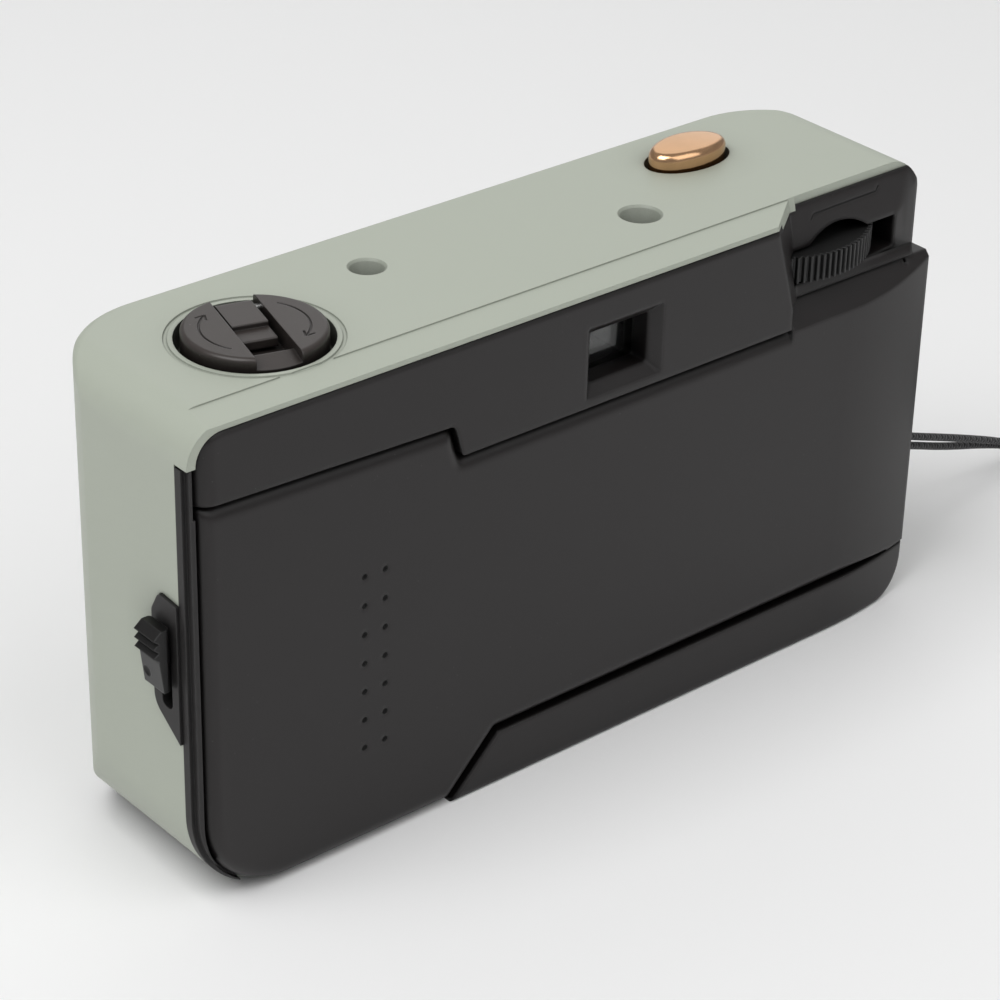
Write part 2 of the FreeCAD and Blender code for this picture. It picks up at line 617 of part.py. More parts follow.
def back_door():
    """Film door: a shallow tray with a crowned hinge end, knuckles, dimples and a thumb scoop."""
    points, radii = door_outline(0)
    skirt_y = HINGE_Y
    door = slab_along_y(points, radii, BACK_Y - DOOR_RIM_DEPTH, BACK_Y)
    door = rounded_edges(
        door, DOOR_EDGE_ROUND,
        lambda b: b.YMin > BACK_Y - 0.01 and (b.XMin > END_X - DOOR_EDGE_INSET - 0.1 or
                                              (b.XLength > 5 and b.ZMin > DOOR_FOOT - 0.1 and b.ZMin < 1 and
                                               b.XMin > BASE_SEAM_X + BASE_SEAM_Z)))
    tail = box(-END_X - HINGE_END_STANDS_OUT - 1, -END_X + 3.0, skirt_y, BACK_Y, DOOR_LOW_Z, DOOR_HIGH_Z)
    door = door.fuse(tail).common(crowned_plan(0, 0, HINGE_Y - 2 * KNUCKLE_R, -WALL, HEIGHT))

    inner_points, inner_radii = door_outline(PANEL)
    inner_points[6] = (-END_X - HINGE_END_STANDS_OUT + PANEL, inner_points[6][1])
    inner_points[7] = (-END_X - HINGE_END_STANDS_OUT + PANEL, inner_points[7][1])
    hollow = slab_along_y(inner_points, inner_radii, 0, DOOR_INNER_Y)
    hollow = hollow.common(crowned_plan(PANEL, PANEL, -WALL, -WALL, HEIGHT))
    door = door.cut(hollow)

    knuckle = (DOOR_HIGH_Z - DOOR_LOW_Z) / KNUCKLES
    door = door.fuse(upright(KNUCKLE_R, HINGE_X, HINGE_Y, DOOR_LOW_Z, DOOR_HIGH_Z))
    door = door.fuse(box(HINGE_X - KNUCKLE_R, HINGE_X, HINGE_Y, HINGE_Y + KNUCKLE_R, DOOR_LOW_Z, DOOR_HIGH_Z))
    for index in range(1, KNUCKLES, 2):
        low = DOOR_LOW_Z + index * knuckle - GAP
        high = DOOR_LOW_Z + (index + 1) * knuckle + GAP
        door = door.cut(box(-END_X - 3, HINGE_X + KNUCKLE_R + GAP, HINGE_Y - 3, HINGE_Y + KNUCKLE_R + GAP, low, high))
    door = door.cut(upright(PIN_R + RUNNING, HINGE_X, HINGE_Y, 0, HEIGHT))

    rebate = body_form(0, 0, REBATE_Y).cut(body_form(CHASSIS_INSET + GAP, 0, BACK_Y))
    door = door.cut(rebate.common(box(END_X - BASE_CORNER / 2 - GAP, END_X, 0, BACK_Y, 0, HEIGHT)))

    scoop = slab_along_x(
        [(BACK_Y - SCOOP_DEPTH, DOOR_HIGH_Z + 0.1), (BACK_Y + 0.5, DOOR_HIGH_Z - SCOOP_HEIGHT),
         (BACK_Y + 0.5, DOOR_HIGH_Z + 0.1)], [0, 0, 0], -END_X - 3, SCOOP_X)
    door = door.fuse(box(
        HINGE_X + KNUCKLE_R, SCOOP_X, BACK_Y - SCOOP_DEPTH - PANEL, BACK_Y - PANEL,
        DOOR_HIGH_Z - SCOOP_HEIGHT, DOOR_HIGH_Z))
    door = door.cut(scoop)

    for column in range(DIMPLE_COLUMNS):
        for row in range(DIMPLE_ROWS):
            x = DIMPLES_X + (column - (DIMPLE_COLUMNS - 1) / 2) * DIMPLE_PITCH_X
            z = DIMPLES_Z + (row - (DIMPLE_ROWS - 1) / 2) * DIMPLE_PITCH_Z
            door = door.cut(rearward(DIMPLE_RADIUS, x, z, BACK_Y - DIMPLE_DEPTH, BACK_Y + 1))

    return door.removeSplitter()


def door_hook():
    """Angled steel hook on the door's inside, which the latch's catch slides behind."""
    high = SLIDER_LOW_Z + LATCH_TRAVEL - GAP
    low = high - HOOK_WIDTH
    arm_x = GUIDE_INNER_X - CATCH_REACH - 2 * GAP
    arm = box(arm_x - PANEL, arm_x, HOOK_Y, DOOR_INNER_Y, low, high)
    tip = box(arm_x - PANEL, GUIDE_INNER_X - 2 * GAP, HOOK_Y, HOOK_Y + HOOK_THICK, low, high)
    return arm.fuse(tip).removeSplitter()


def door_hinge_pin():
    """Steel pin through all the knuckles."""
    return upright(PIN_R, HINGE_X, HINGE_Y, DOOR_LOW_Z + 0.5, DOOR_HIGH_Z - 0.5)


def lower_rear_cover():
    """Black strip that closes the rear of the base under the door."""
    end = -END_X - HINGE_END_STANDS_OUT
    points = [(end, 0), (BASE_SEAM_X + BASE_SEAM_Z, 0), (BASE_SEAM_X, BASE_SEAM_Z), (end, BASE_SEAM_Z)]
    strip = slab_along_y(points, [HINGE_END_BASE_CORNER, 0, 0, 0], SHELL_REAR_Y, BACK_Y)
    strip = strip.common(crowned_plan(0, 0, 0, -WALL, HEIGHT))
    strip = rounded_edges(
        strip, 0.6, lambda b: b.YMin > BACK_Y - 0.01 and b.ZMax < 0.01 and b.XLength > 10)
    hollow = box(-END_X + BASE_CORNER, BASE_SEAM_X - WALL, 0, DOOR_INNER_Y, WALL, BASE_SEAM_Z - WALL)
    return strip.cut(hollow)


def cover_outline(growth, y0, y1):
    """The rear top cover's outline seen from behind, grown upwards and at its left end."""
    left = END_X - COVER_END_INSET + growth
    top = COVER_TOP_Z + growth
    corner = TOP_CORNER - COVER_END_INSET + growth
    points = [
        (left, COVER_SEAM_LEFT_Z + COVER_SEAM_RISE),
        (left, top),
        (-END_X, top),
        (-END_X, RECESS_LIP_Z - LIP_THICK),
        (SCOOP_X + GAP, RECESS_LIP_Z - LIP_THICK),
        (SCOOP_X + GAP, COVER_SEAM_Z),
        (SEAM_STEP_X, COVER_SEAM_Z),
        (SEAM_STEP_X + 1.2, COVER_SEAM_LEFT_Z),
    ]
    return slab_along_y(points, [0.3, corner, corner, 0, 0, 0, 0.3, 1.0], y0, y1)


def rear_top_cover():
    """Black cover over the viewfinder, with the thumb recess and the slot for the wheel."""
    left = END_X - COVER_END_INSET
    front = BACK_Y - SHELL_STOPS_SHORT
    back = cover_outline(0, front, BACK_Y)
    plan = slab_along_z(rectangle(-END_X, left, front, BACK_Y), [0, 0, COVER_END_ROUND, 0], 0, HEIGHT)
    back = back.common(plan)
    back = rounded_edges(back, 0.7, lambda b: b.ZMin > COVER_TOP_Z - 0.01 and b.YMin > BACK_Y - 0.01)
    hollow = slab_along_y(
        rectangle(RECESS_CORNER_X + 6, left - 2 * WALL, COVER_SEAM_Z + PANEL, COVER_TOP_Z - PANEL), [0.5] * 4,
        0, BACK_Y - PANEL)
    low_left = box(SEAM_STEP_X - PANEL, END_X, 0, BACK_Y - PANEL, 0, COVER_SEAM_LEFT_Z + PANEL)
    cover = back.cut(hollow.cut(low_left))

    inner_y = CREASE_Y - WALL
    recess_block = box(-END_X + 0.05, RECESS_CORNER_X + 6, inner_y, BACK_Y, RECESS_LIP_Z - LIP_THICK, COVER_TOP_Z)
    room = body_form(0, FRONT_Y, BACK_Y)
    recess_block = recess_block.common(room).common(crowned_plan(RECESS_LIP_IN, 0, 0, 0, HEIGHT))
    shell_top = body_form(WALL, FRONT_Y, TOP_REAR_Y).common(box(-END_X, END_X, -DEPTH, BACK_Y, 0, HEIGHT))
    shell_side = body_form(0, FRONT_Y, recess_wall_y(HEIGHT)).cut(shell_top)
    cover = cover.fuse(recess_block)
    cover = cover.cut(shell_side)
    cover = cover.cut(box(RECESS_CORNER_X - 1, END_X, 0, COVER_SEAT_Y, HEIGHT - WALL, HEIGHT))
    shell_wall = body_form(0, 0, COVER_SEAT_Y).cut(body_form(WALL, 0, COVER_SEAT_Y))
    cover = cover.cut(shell_wall.common(box(0, END_X, 0, BACK_Y, CUT_BACK_Z, HEIGHT)))
    cover = cover.cut(thumb_recess())

    pane_y = BACK_Y - FINDER_PANE_DEPTH
    tube = finder_outline(FINDER_WALL, pane_y - PANE_THICK - 1.5, BACK_Y - 0.2)
    cover = cover.fuse(tube)
    cover = cover.cut(finder_outline(0, 0, BACK_Y + 1))
    cover = cover.cut(finder_outline(0.5, 0, pane_y))
    frame = []
    for growth, y in ((0, BACK_Y - FINDER_FRAME), (FINDER_FRAME, BACK_Y)):
        x = FINDER_WIDTH / 2 + growth
        z = FINDER_HEIGHT / 2 + growth
        corners = [V(px, y, pz) for px, pz in rectangle(FINDER_X - x, FINDER_X + x, FINDER_Z - z, FINDER_Z + z)]
        frame.append(Part.makePolygon(corners + corners[:1]))
    cover = cover.cut(Part.makeLoft(frame, True, True))

    wheel_room = upright(WHEEL_R + GAP, SPOOL_X, CHAMBER_Y, RECESS_LIP_Z, WHEEL_Z + WHEEL_THICK + GAP)
    arch = rearward(ARCH_RADIUS, ARCH_X, WHEEL_Z + WHEEL_THICK + ARCH_OVER_WHEEL - ARCH_RADIUS, 0, BACK_Y)
    arch = arch.common(box(-END_X, 0, 0, BACK_Y, RECESS_LIP_Z, HEIGHT))
    slot = box(SLOT_RIGHT_X, SPOOL_X, 0, BACK_Y, RECESS_LIP_Z, RECESS_LIP_Z + SLOT_HEIGHT)
    cover = cover.cut(wheel_room).cut(arch).cut(slot)
    return cover.removeSplitter()


def finder_outline(growth, y0, y1):
    """The eyepiece tunnel's section, grown all round."""
    x = FINDER_WIDTH / 2 + growth
    z = FINDER_HEIGHT / 2 + growth
    return slab_along_y(
        rectangle(FINDER_X - x, FINDER_X + x, FINDER_Z - z, FINDER_Z + z), [0.3 + growth] * 4, y0, y1)


def eyepiece_lens():
    """Pane seated in the step of the eyepiece tunnel."""
    rear = BACK_Y - FINDER_PANE_DEPTH
    return finder_outline(0.5, rear - PANE_THICK, rear)


def viewfinder_window():
    """Pane in the front of the shell."""
    pane = front_pane_outline(0, FRONT_Y + 0.5, FRONT_Y + WALL)
    flange = front_pane_outline(1.0, FRONT_Y + WALL, FRONT_Y + WALL + 0.8)
    return pane.fuse(flange)


def film_chassis():
    """Inner moulding: cartridge chamber, take-up chamber, film gate, rails, light tunnel and rear rim."""
    room = body_form(CHASSIS_INSET, FRONT_Y + CHASSIS_INSET, SHELL_REAR_Y - 0.5)
    low = CHASSIS_LOW_Z
    top = CHASSIS_TOP_Z + CHASSIS_FLOOR
    gate_top = CEILING_Z
    rear = SHELL_REAR_Y - 0.5

    cartridge_outer = upright(CARTRIDGE_BORE + CHAMBER_WALL, CARTRIDGE_X, CHAMBER_Y, low, top)
    cartridge_outer = cartridge_outer.fuse(box(
        CARTRIDGE_X - CARTRIDGE_BORE - CHAMBER_WALL, CARTRIDGE_X + CARTRIDGE_BORE + CHAMBER_WALL,
        CHAMBER_Y, rear, low, top))
    spool_outer = upright(SPOOL_BORE + CHAMBER_WALL, SPOOL_X, CHAMBER_Y, low, gate_top)
    spool_outer = spool_outer.fuse(box(
        SPOOL_X - SPOOL_BORE - CHAMBER_WALL, SPOOL_X + SPOOL_BORE + CHAMBER_WALL, CHAMBER_Y, rear, low, gate_top))
    bridge = box(SPOOL_X, CARTRIDGE_X, SPROCKET_Y - SPROCKET_PITCH_R, FILM_Y - 0.4, low, gate_top)
    bridge = bridge.cut(box(
        SPOOL_X, CARTRIDGE_X, 0, FILM_Y - 1.6, low + CHASSIS_FLOOR, gate_top - CHASSIS_FLOOR))
    bridge = bridge.fuse(box(SPOOL_X, CARTRIDGE_X, FILM_Y - 1.6, rear, low, low + CHASSIS_FLOOR))
    bridge = bridge.fuse(box(SPOOL_X, CARTRIDGE_X, FILM_Y - 1.6, rear, gate_top - CHASSIS_FLOOR, gate_top))
    chassis = cartridge_outer.fuse(spool_outer).fuse(bridge)

    tunnel_front = SHUTTER_Y
    chassis = chassis.fuse(light_tunnel(CHAMBER_WALL, tunnel_front, FILM_Y - 0.4))
    wide = SHUTTER_HALF_WIDTH + 1.0
    tall = SHUTTER_HALF_HEIGHT + 1.0
    chassis = chassis.fuse(slab_along_y(
        rectangle(-wide, wide, LENS_Z - tall, LENS_Z + tall), [2.0] * 4, tunnel_front, tunnel_front + 1.2))
    for x, z in shutter_posts():
        chassis = chassis.fuse(rearward(POST_R, x, z, SHUTTER_Y - BLADE_THICK - 0.8, SHUTTER_Y + 0.1))
    for x, y, r in screw_places():
        chassis = chassis.fuse(upright(2.6, x, y, gate_top - CHASSIS_FLOOR, HEIGHT - SCREW_SINK - WALL - GAP))
        chassis = chassis.fuse(box(x - 3, x + 3, y - 3, SPROCKET_Y, gate_top - CHASSIS_FLOOR, gate_top))
    for x, y in base_screw_places():
        chassis = chassis.fuse(upright(2.4, x, y, low, low + BASE_SCREW_BITE + 1))
        chassis = chassis.fuse(box(x - 3, x + 3, y - 3, SPROCKET_Y, low, low + CHASSIS_FLOOR))
    rail_end = FRAME_WIDTH / 2 + 3
    for reach, rail_y in ((FRAME_HEIGHT / 2 + GAP, FILM_Y), (PLATE_HEIGHT / 2 + 2 * GAP, FILM_Y + PLATE_OFF_RAILS)):
        for z in (FILM_Z - reach - RAIL_THICK, FILM_Z + reach):
            chassis = chassis.fuse(box(-rail_end, rail_end, FILM_Y - 1, rail_y, z, z + RAIL_THICK))

    chassis = chassis.common(room)
    chassis = chassis.fuse(rear_rim())
    chassis = chassis.cut(box(
        -END_X, HINGE_X + KNUCKLE_R + GAP, HINGE_Y - KNUCKLE_R - GAP, BACK_Y, DOOR_LOW_Z - GAP, HEIGHT))
    chassis = chassis.fuse(fixed_knuckles())

    cuts = [
        upright(CARTRIDGE_BORE, CARTRIDGE_X, CHAMBER_Y, low + CHASSIS_FLOOR, CHASSIS_TOP_Z),
        box(CARTRIDGE_X - CARTRIDGE_BORE, CARTRIDGE_X + CARTRIDGE_BORE, CHAMBER_Y, BACK_Y,
            low + CHASSIS_FLOOR, CHASSIS_TOP_Z),
        upright(SPOOL_BORE, SPOOL_X, CHAMBER_Y, low + CHASSIS_FLOOR, gate_top - CHASSIS_FLOOR),
        box(SPOOL_X - SPOOL_BORE, SPOOL_X + SPOOL_BORE, CHAMBER_Y, BACK_Y,
            low + CHASSIS_FLOOR, gate_top - CHASSIS_FLOOR),
        light_tunnel(0, tunnel_front - 3, FILM_Y + 0.1),
        rearward(APERTURE_R + 1.5, 0, LENS_Z, FRONT_Y, 0),
        box(SPROCKET_X - SPROCKET_PITCH_R - TOOTH_HEIGHT - GAP, SPROCKET_X + SPROCKET_PITCH_R + TOOTH_HEIGHT + GAP,
            SPROCKET_Y - SPROCKET_PITCH_R - TOOTH_HEIGHT - GAP, BACK_Y,
            low + CHASSIS_FLOOR, gate_top - CHASSIS_FLOOR),
        upright(SHAFT_R + RUNNING, SPROCKET_X, SPROCKET_Y, 0, HEIGHT),
        upright(WHEEL_SHAFT_R + RUNNING, SPOOL_X, CHAMBER_Y, FILM_Z, HEIGHT),
        upright(SHAFT_R + RUNNING, SPOOL_X, CHAMBER_Y, 0, FILM_Z),
        upright(REWIND_SHAFT_R + RUNNING, CARTRIDGE_X, CHAMBER_Y, FILM_Z, HEIGHT),
        upright(4.6, CARTRIDGE_X, CHAMBER_Y, 0, low + CHASSIS_FLOOR),
        upright(DIAL_PIN_R + RUNNING, DIAL_X, DIAL_Y, 0, low + CHASSIS_FLOOR - GAP),
        rearward(BLADE_PIN_R + RUNNING, BLADE_PIVOT_X, BLADE_PIVOT_Z, FRONT_Y, 0),
        box(GUIDE_INNER_X - CATCH_REACH - 2 * GAP - PANEL - GAP, END_X - DOOR_EDGE_INSET + GAP - RUNNING,
            0, SHELL_REAR_Y + 2 * GAP, LATCH_Z - LATCH_HEIGHT / 2 - 1, LATCH_Z + LATCH_HEIGHT / 2 + 1),
        box(-END_X, SCOOP_X + GAP, BACK_Y - SCOOP_DEPTH - PANEL - GAP, BACK_Y,
            DOOR_HIGH_Z - SCOOP_HEIGHT - GAP, HEIGHT),
        finder_outline(FINDER_WALL + GAP, 0, BACK_Y),
    ]
    for x, y, r in screw_places():
        cuts.append(upright(SCREW_SHANK_R, x, y, HEIGHT - SCREW_SINK - SCREW_BITE, HEIGHT))
    for x, y in base_screw_places():
        cuts.append(upright(SCREW_SHANK_R, x, y, 0, low + BASE_SCREW_BITE))
    for cut in cuts:
        chassis = chassis.cut(cut)
    return chassis.removeSplitter()


def chassis_length(chassis, start_x, end_x):
    """The part of the chassis between two places along X."""
    return chassis.common(box(start_x, end_x, FRONT_Y, BACK_Y, 0, HEIGHT))


def light_tunnel(growth, y0, y1):
    """The tapered tunnel from the film gate towards the lens."""
    depth = FILM_Y + 0.1 - (FRONT_Y + CHASSIS_INSET)
    sections = []
    for y in (y0, y1):
        share = (y - FRONT_Y - CHASSIS_INSET) / depth
        x = 5.0 + (FRAME_WIDTH / 2 - 5.0) * share + growth
        z = 4.0 + (FRAME_HEIGHT / 2 - 4.0) * share + growth
        corners = [V(-x, y, FILM_Z - z), V(x, y, FILM_Z - z), V(x, y, FILM_Z + z), V(-x, y, FILM_Z + z)]
        sections.append(Part.makePolygon(corners + corners[:1]))
    return Part.makeLoft(sections, True, True)


def rear_rim():
    """The two black strips that show between the shell and the door, and the web that carries them."""
    step_y = SHELL_REAR_Y + 1.1
    rear_y = BACK_Y - 0.5
    door_side = DOOR_EDGE_INSET - GAP
    outer = body_form(0, SHELL_REAR_Y, step_y).cut(body_form(door_side, 0, BACK_Y))
    inner = body_form(0.55, step_y, rear_y).cut(body_form(door_side, 0, BACK_Y))
    web_rear = SHELL_REAR_Y - 0.5
    web = body_form(CHASSIS_INSET, web_rear - 2, web_rear).cut(body_form(CHASSIS_INSET + 3.6, 0, BACK_Y))
    joint_rear = REBATE_Y - GAP
    joint = body_form(door_side - RUNNING, web_rear - 0.8, joint_rear)
    joint = joint.cut(body_form(CHASSIS_INSET + RUNNING, 0, BACK_Y))
    joint = joint.cut(body_form(0, 0, SHELL_REAR_Y).cut(body_form(WALL, 0, SHELL_REAR_Y)))
    seat = outer.fuse(inner).fuse(joint)
    side_only = box(END_X - BASE_CORNER / 2, END_X + 1, 0, BACK_Y, 0, CUT_BACK_Z - GAP)
    cover_room = box(0, END_X - COVER_END_INSET + GAP, BACK_Y - 2 * WALL - GAP, BACK_Y, COVER_SEAM_LEFT_Z, HEIGHT)
    rim = seat.common(side_only).fuse(web)
    points, radii = door_outline(-GAP)
    door_room = slab_along_y(points, radii, joint_rear, BACK_Y + 1)
    rim = rim.cut(door_room)
    rim = rim.cut(box(-END_X, 0, 0, BACK_Y, CEILING_Z, HEIGHT))
    rim = rim.cut(cover_room).cut(box(-END_X, END_X, 0, SHELL_REAR_Y, CHASSIS_TOP_Z, HEIGHT))
    return rim.cut(box(-END_X, END_X, 0, BACK_Y, CUT_BACK_Z - GAP, HEIGHT))


def fixed_knuckles():
    """The chassis' hinge knuckles, between those of the door."""
    knuckle = (DOOR_HIGH_Z - DOOR_LOW_Z) / KNUCKLES
    result = None
    for index in range(1, KNUCKLES, 2):
        low = DOOR_LOW_Z + index * knuckle
        high = low + knuckle
        barrel = upright(KNUCKLE_R - 0.1, HINGE_X, HINGE_Y, low, high)
        arm = box(HINGE_X, SPOOL_X - SPOOL_BORE, HINGE_Y - 1.2, HINGE_Y + 1.0, low, high)
        piece = barrel.fuse(arm).cut(upright(PIN_R, HINGE_X, HINGE_Y, low, high))
        result = piece if result is None else result.fuse(piece)
    return result


def shutter_posts():
    """Centres of the posts that hold the shutter plate off the chassis."""
    x = SHUTTER_HALF_WIDTH - 2
    z = SHUTTER_HALF_HEIGHT - 2
    return [(-x, LENS_Z - z), (x, LENS_Z - z), (x, LENS_Z + z)]


def pressure_plate():
    """Plate that the door presses against the film."""
    x = PLATE_WIDTH / 2
    z = PLATE_HEIGHT / 2
    front = FILM_Y + 2 * PLATE_OFF_RAILS
    return slab_along_y(rectangle(-x, x, FILM_Z - z, FILM_Z + z), [2.0] * 4, front, front + PLATE_THICK)


def pressure_spring():
    """Bowed leaf between the pressure plate and the door."""
    near = FILM_Y + 2 * PLATE_OFF_RAILS + PLATE_THICK
    far = DOOR_INNER_Y - LEAF_THICK
    reach = PLATE_WIDTH / 3
    z = FILM_Z - LEAF_WIDTH / 2
    front = Part.Arc(V(-reach, far, z), V(0, near, z), V(reach, far, z)).toShape()
    rear = Part.Arc(
        V(-reach, DOOR_INNER_Y, z), V(0, near + LEAF_THICK, z), V(reach, DOOR_INNER_Y, z)).toShape()
    ends = [Part.LineSegment(V(x, far, z), V(x, DOOR_INNER_Y, z)).toShape() for x in (-reach, reach)]
    outline = Part.Wire(Part.__sortEdges__([front, rear] + ends))
    return Part.Face(outline).extrude(V(0, 0, LEAF_WIDTH))


def latch_guide():
    """Lobed plate in the +X end with the slot that the latch slides in."""
    plate = latch_outline(RUNNING, GUIDE_INNER_X, GUIDE_OUTER_X)
    half = TONGUE_WIDTH / 2 + 0.2
    slot = slab_along_x(
        rectangle(TONGUE_Y - half, TONGUE_Y + half, SLIDER_LOW_Z - LATCH_TRAVEL, SLIDER_TOP_Z - TONGUE_DROP + GAP),
        [half * 0.8] * 4, GUIDE_INNER_X - 1, GUIDE_OUTER_X + 1)
    return plate.cut(slot)


def latch_slider():
    """Ribbed finger piece with its tongue through the guide."""
    face = GUIDE_OUTER_X + GAP
    top = END_X + SLIDER_STANDS_OUT
    low = SLIDER_LOW_Z
    high = SLIDER_TOP_Z
    middle = (low + high) / 2
    points = [(face, low), (face + 1.0, low), (top - 0.7, middle)]
    rib = (high - middle - 0.6) / SLIDER_RIBS
    for index in range(SLIDER_RIBS):
        base = middle + 0.3 + index * rib
        points += [(top - 0.7, base), (top, base + rib / 2)]
    points += [(top - 0.7, high - 0.3), (top - 1.1, high), (face, high)]
    front = SHELL_REAR_Y - LATCH_WIDTH + 0.2
    rear = SHELL_REAR_Y - SLIDER_FROM_REAR
    corners = [V(x, front, z) for x, z in points]
    pad = Part.Face(Part.makePolygon(corners + corners[:1])).extrude(V(0, rear - front, 0))
    pad = rounded_edges(pad, 0.5, lambda b: b.YLength < 0.01 and b.XLength < 0.01 and b.XMax < face + 0.1)
    dent = Part.makeSphere(1.0, V(face + 1.9, front + 0.9, low + 1.6))
    pad = pad.cut(dent)
    half = TONGUE_WIDTH / 2
    bottom = low + LATCH_TRAVEL
    tongue = box(GUIDE_INNER_X - GAP, face + 0.1, TONGUE_Y - half, TONGUE_Y + half, bottom, high - TONGUE_DROP)
    return pad.fuse(tongue).removeSplitter()


def latch_catch():
    """Steel bar fixed to the end of the slider's tongue, behind which the door's hook stands."""
    y = HOOK_Y + HOOK_THICK + GAP
    end_x = GUIDE_INNER_X - GAP
    return box(
        end_x - CATCH_REACH, end_x, y, y + CATCH_WIDTH, SLIDER_LOW_Z + LATCH_TRAVEL, SLIDER_TOP_Z - TONGUE_DROP)


def turned_with_channel(shape):
    """A piece drawn with the channel along Y, turned and moved to the knob's axis."""
    shape.rotate(V(0, 0, 0), V(0, 0, 1), -CHANNEL_TURN)
    shape.translate(V(CARTRIDGE_X, CHAMBER_Y, 0))
    return shape


def crank_pin_z():
    """Level of the crank's pin."""
    return HEIGHT + KNOB_STANDS_OUT - 0.2 - CRANK_THICK / 2


def rewind_knob():
    """Disc with the channel that the crank folds into and a sloped lip at its end."""
    top = HEIGHT + KNOB_STANDS_OUT
    floor = top - CHANNEL_DEPTH
    knob = upright(KNOB_R, 0, 0, WELL_FLOOR_Z + GAP, top)
    knob = rounded_edges(knob, 0.6, lambda b: b.ZMin > top - 0.01)
    half = CHANNEL_WIDTH / 2
    lip = 0.62 * KNOB_R
    knob = knob.cut(slab_along_x(
        [(-KNOB_R - 1, floor), (lip, floor), (lip, top - 0.9), (KNOB_R + 1, top - 1.5), (KNOB_R + 1, top + 1),
         (-KNOB_R - 1, top + 1)], [0] * 6, -half, half))
    knob = knob.cut(crank_pin_local())
    knob = knob.cut(upright(REWIND_SHAFT_R, 0, 0, 0, floor - 0.6))
    return turned_with_channel(knob)


def crank_pin_local():
    """Pin across the channel, before it is turned with the knob."""
    reach = CHANNEL_WIDTH / 2 + 1.6
    return Part.makeCylinder(CRANK_PIN_R, 2 * reach, V(-reach, -CRANK_PIN_OUT, crank_pin_z()), V(1, 0, 0))


def crank_pin():
    """Pin that the crank folds about."""
    return turned_with_channel(crank_pin_local())


def rewind_crank():
    """Lever that lies in the channel and folds up about its front end."""
    centre = crank_pin_z()
    high = centre + CRANK_THICK / 2
    low = centre - CRANK_THICK / 2
    front = -CRANK_PIN_OUT - CRANK_THICK / 2
    step = front + 0.68 * CRANK_LENGTH
    end = front + CRANK_LENGTH
    right = -CRANK_WIDTH / 2 + 0.2
    points = [(front, low), (end, low), (end, high - 0.6), (step, high - 0.6), (step, high), (front, high)]
    crank = slab_along_x(points, [0.9, 0.4, 0.2, 0, 0.15, 0.9], right, right + CRANK_WIDTH)
    bore = Part.makeCylinder(
        CRANK_PIN_R + RUNNING, CHANNEL_WIDTH, V(-CHANNEL_WIDTH / 2, -CRANK_PIN_OUT, centre), V(1, 0, 0))
    return turned_with_channel(crank.cut(bore))


def washer_z():
    """Level of the washer's underside, just above the cartridge chamber."""
    return CHASSIS_TOP_Z + CHASSIS_FLOOR + GAP


def rewind_shaft():
    """Shaft under the knob, with a groove for the washer and a fork for the cartridge's hub."""
    floor = HEIGHT + KNOB_STANDS_OUT - CHANNEL_DEPTH
    shaft = upright(REWIND_SHAFT_R, 0, 0, CHASSIS_TOP_Z, floor - 0.6)
    groove = washer_z()
    ring = upright(WASHER_R, 0, 0, groove, groove + WASHER_THICK + 2 * RUNNING)
    shaft = shaft.cut(ring.cut(upright(REWIND_SHAFT_R - 0.7, 0, 0, 0, HEIGHT)))
    half = FORK_WIDTH / 2
    blade = REWIND_SHAFT_R - 0.3
    fork = box(-blade, blade, -half, half, CHASSIS_TOP_Z - REWIND_LIFT, CHASSIS_TOP_Z)
    fork = fork.cut(box(-blade / 3, blade / 3, -half, half, 0, CHASSIS_TOP_Z - 0.2))
    return turned_with_channel(shaft.fuse(fork))


def rewind_washer():
    """Clip in the shaft's groove, which lets the knob be pulled up and stops it coming out."""
    low = washer_z() + RUNNING
    inner = REWIND_SHAFT_R - 0.7 + RUNNING
    clip = upright(WASHER_R, 0, 0, low, low + WASHER_THICK).cut(upright(inner, 0, 0, 0, HEIGHT))
    return turned_with_channel(clip.cut(box(-inner * 0.8, inner * 0.8, 0, WASHER_R + 1, 0, HEIGHT)))


def advance_wheel():
    """Ribbed thumbwheel, its hub and the shaft that drives the spool."""
    pitch = 2 * math.pi / WHEEL_RIBS
    corners = []
    for index in range(WHEEL_RIBS):
        valley = WHEEL_R - RIB_DEPTH
        for share, radius in ((0.0, WHEEL_R), (0.3, WHEEL_R), (0.5, valley), (0.8, valley)):
            angle = (index + share) * pitch
            corners.append(V(SPOOL_X + radius * math.cos(angle), CHAMBER_Y + radius * math.sin(angle), WHEEL_Z))
    wheel = Part.Face(Part.makePolygon(corners + corners[:1])).extrude(V(0, 0, WHEEL_THICK))
    hub = spun(
        [(0, CEILING_Z - WHEEL_SHAFT_DEPTH), (WHEEL_SHAFT_R, CEILING_Z - WHEEL_SHAFT_DEPTH),
         (WHEEL_SHAFT_R, CEILING_Z + GAP), (WHEEL_SHAFT_R + 1.5, CEILING_Z + GAP),
         (WHEEL_SHAFT_R + 1.5, WHEEL_Z), (0, WHEEL_Z)], SPOOL_X, CHAMBER_Y)
    dish = spun(
        [(WHEEL_SHAFT_R + 2.5, WHEEL_Z), (WHEEL_R - 2.5, WHEEL_Z), (WHEEL_R - 3, WHEEL_Z + 1.4),
         (WHEEL_SHAFT_R + 3, WHEEL_Z + 1.4)], SPOOL_X, CHAMBER_Y)
    return wheel.fuse(hub).cut(dish)


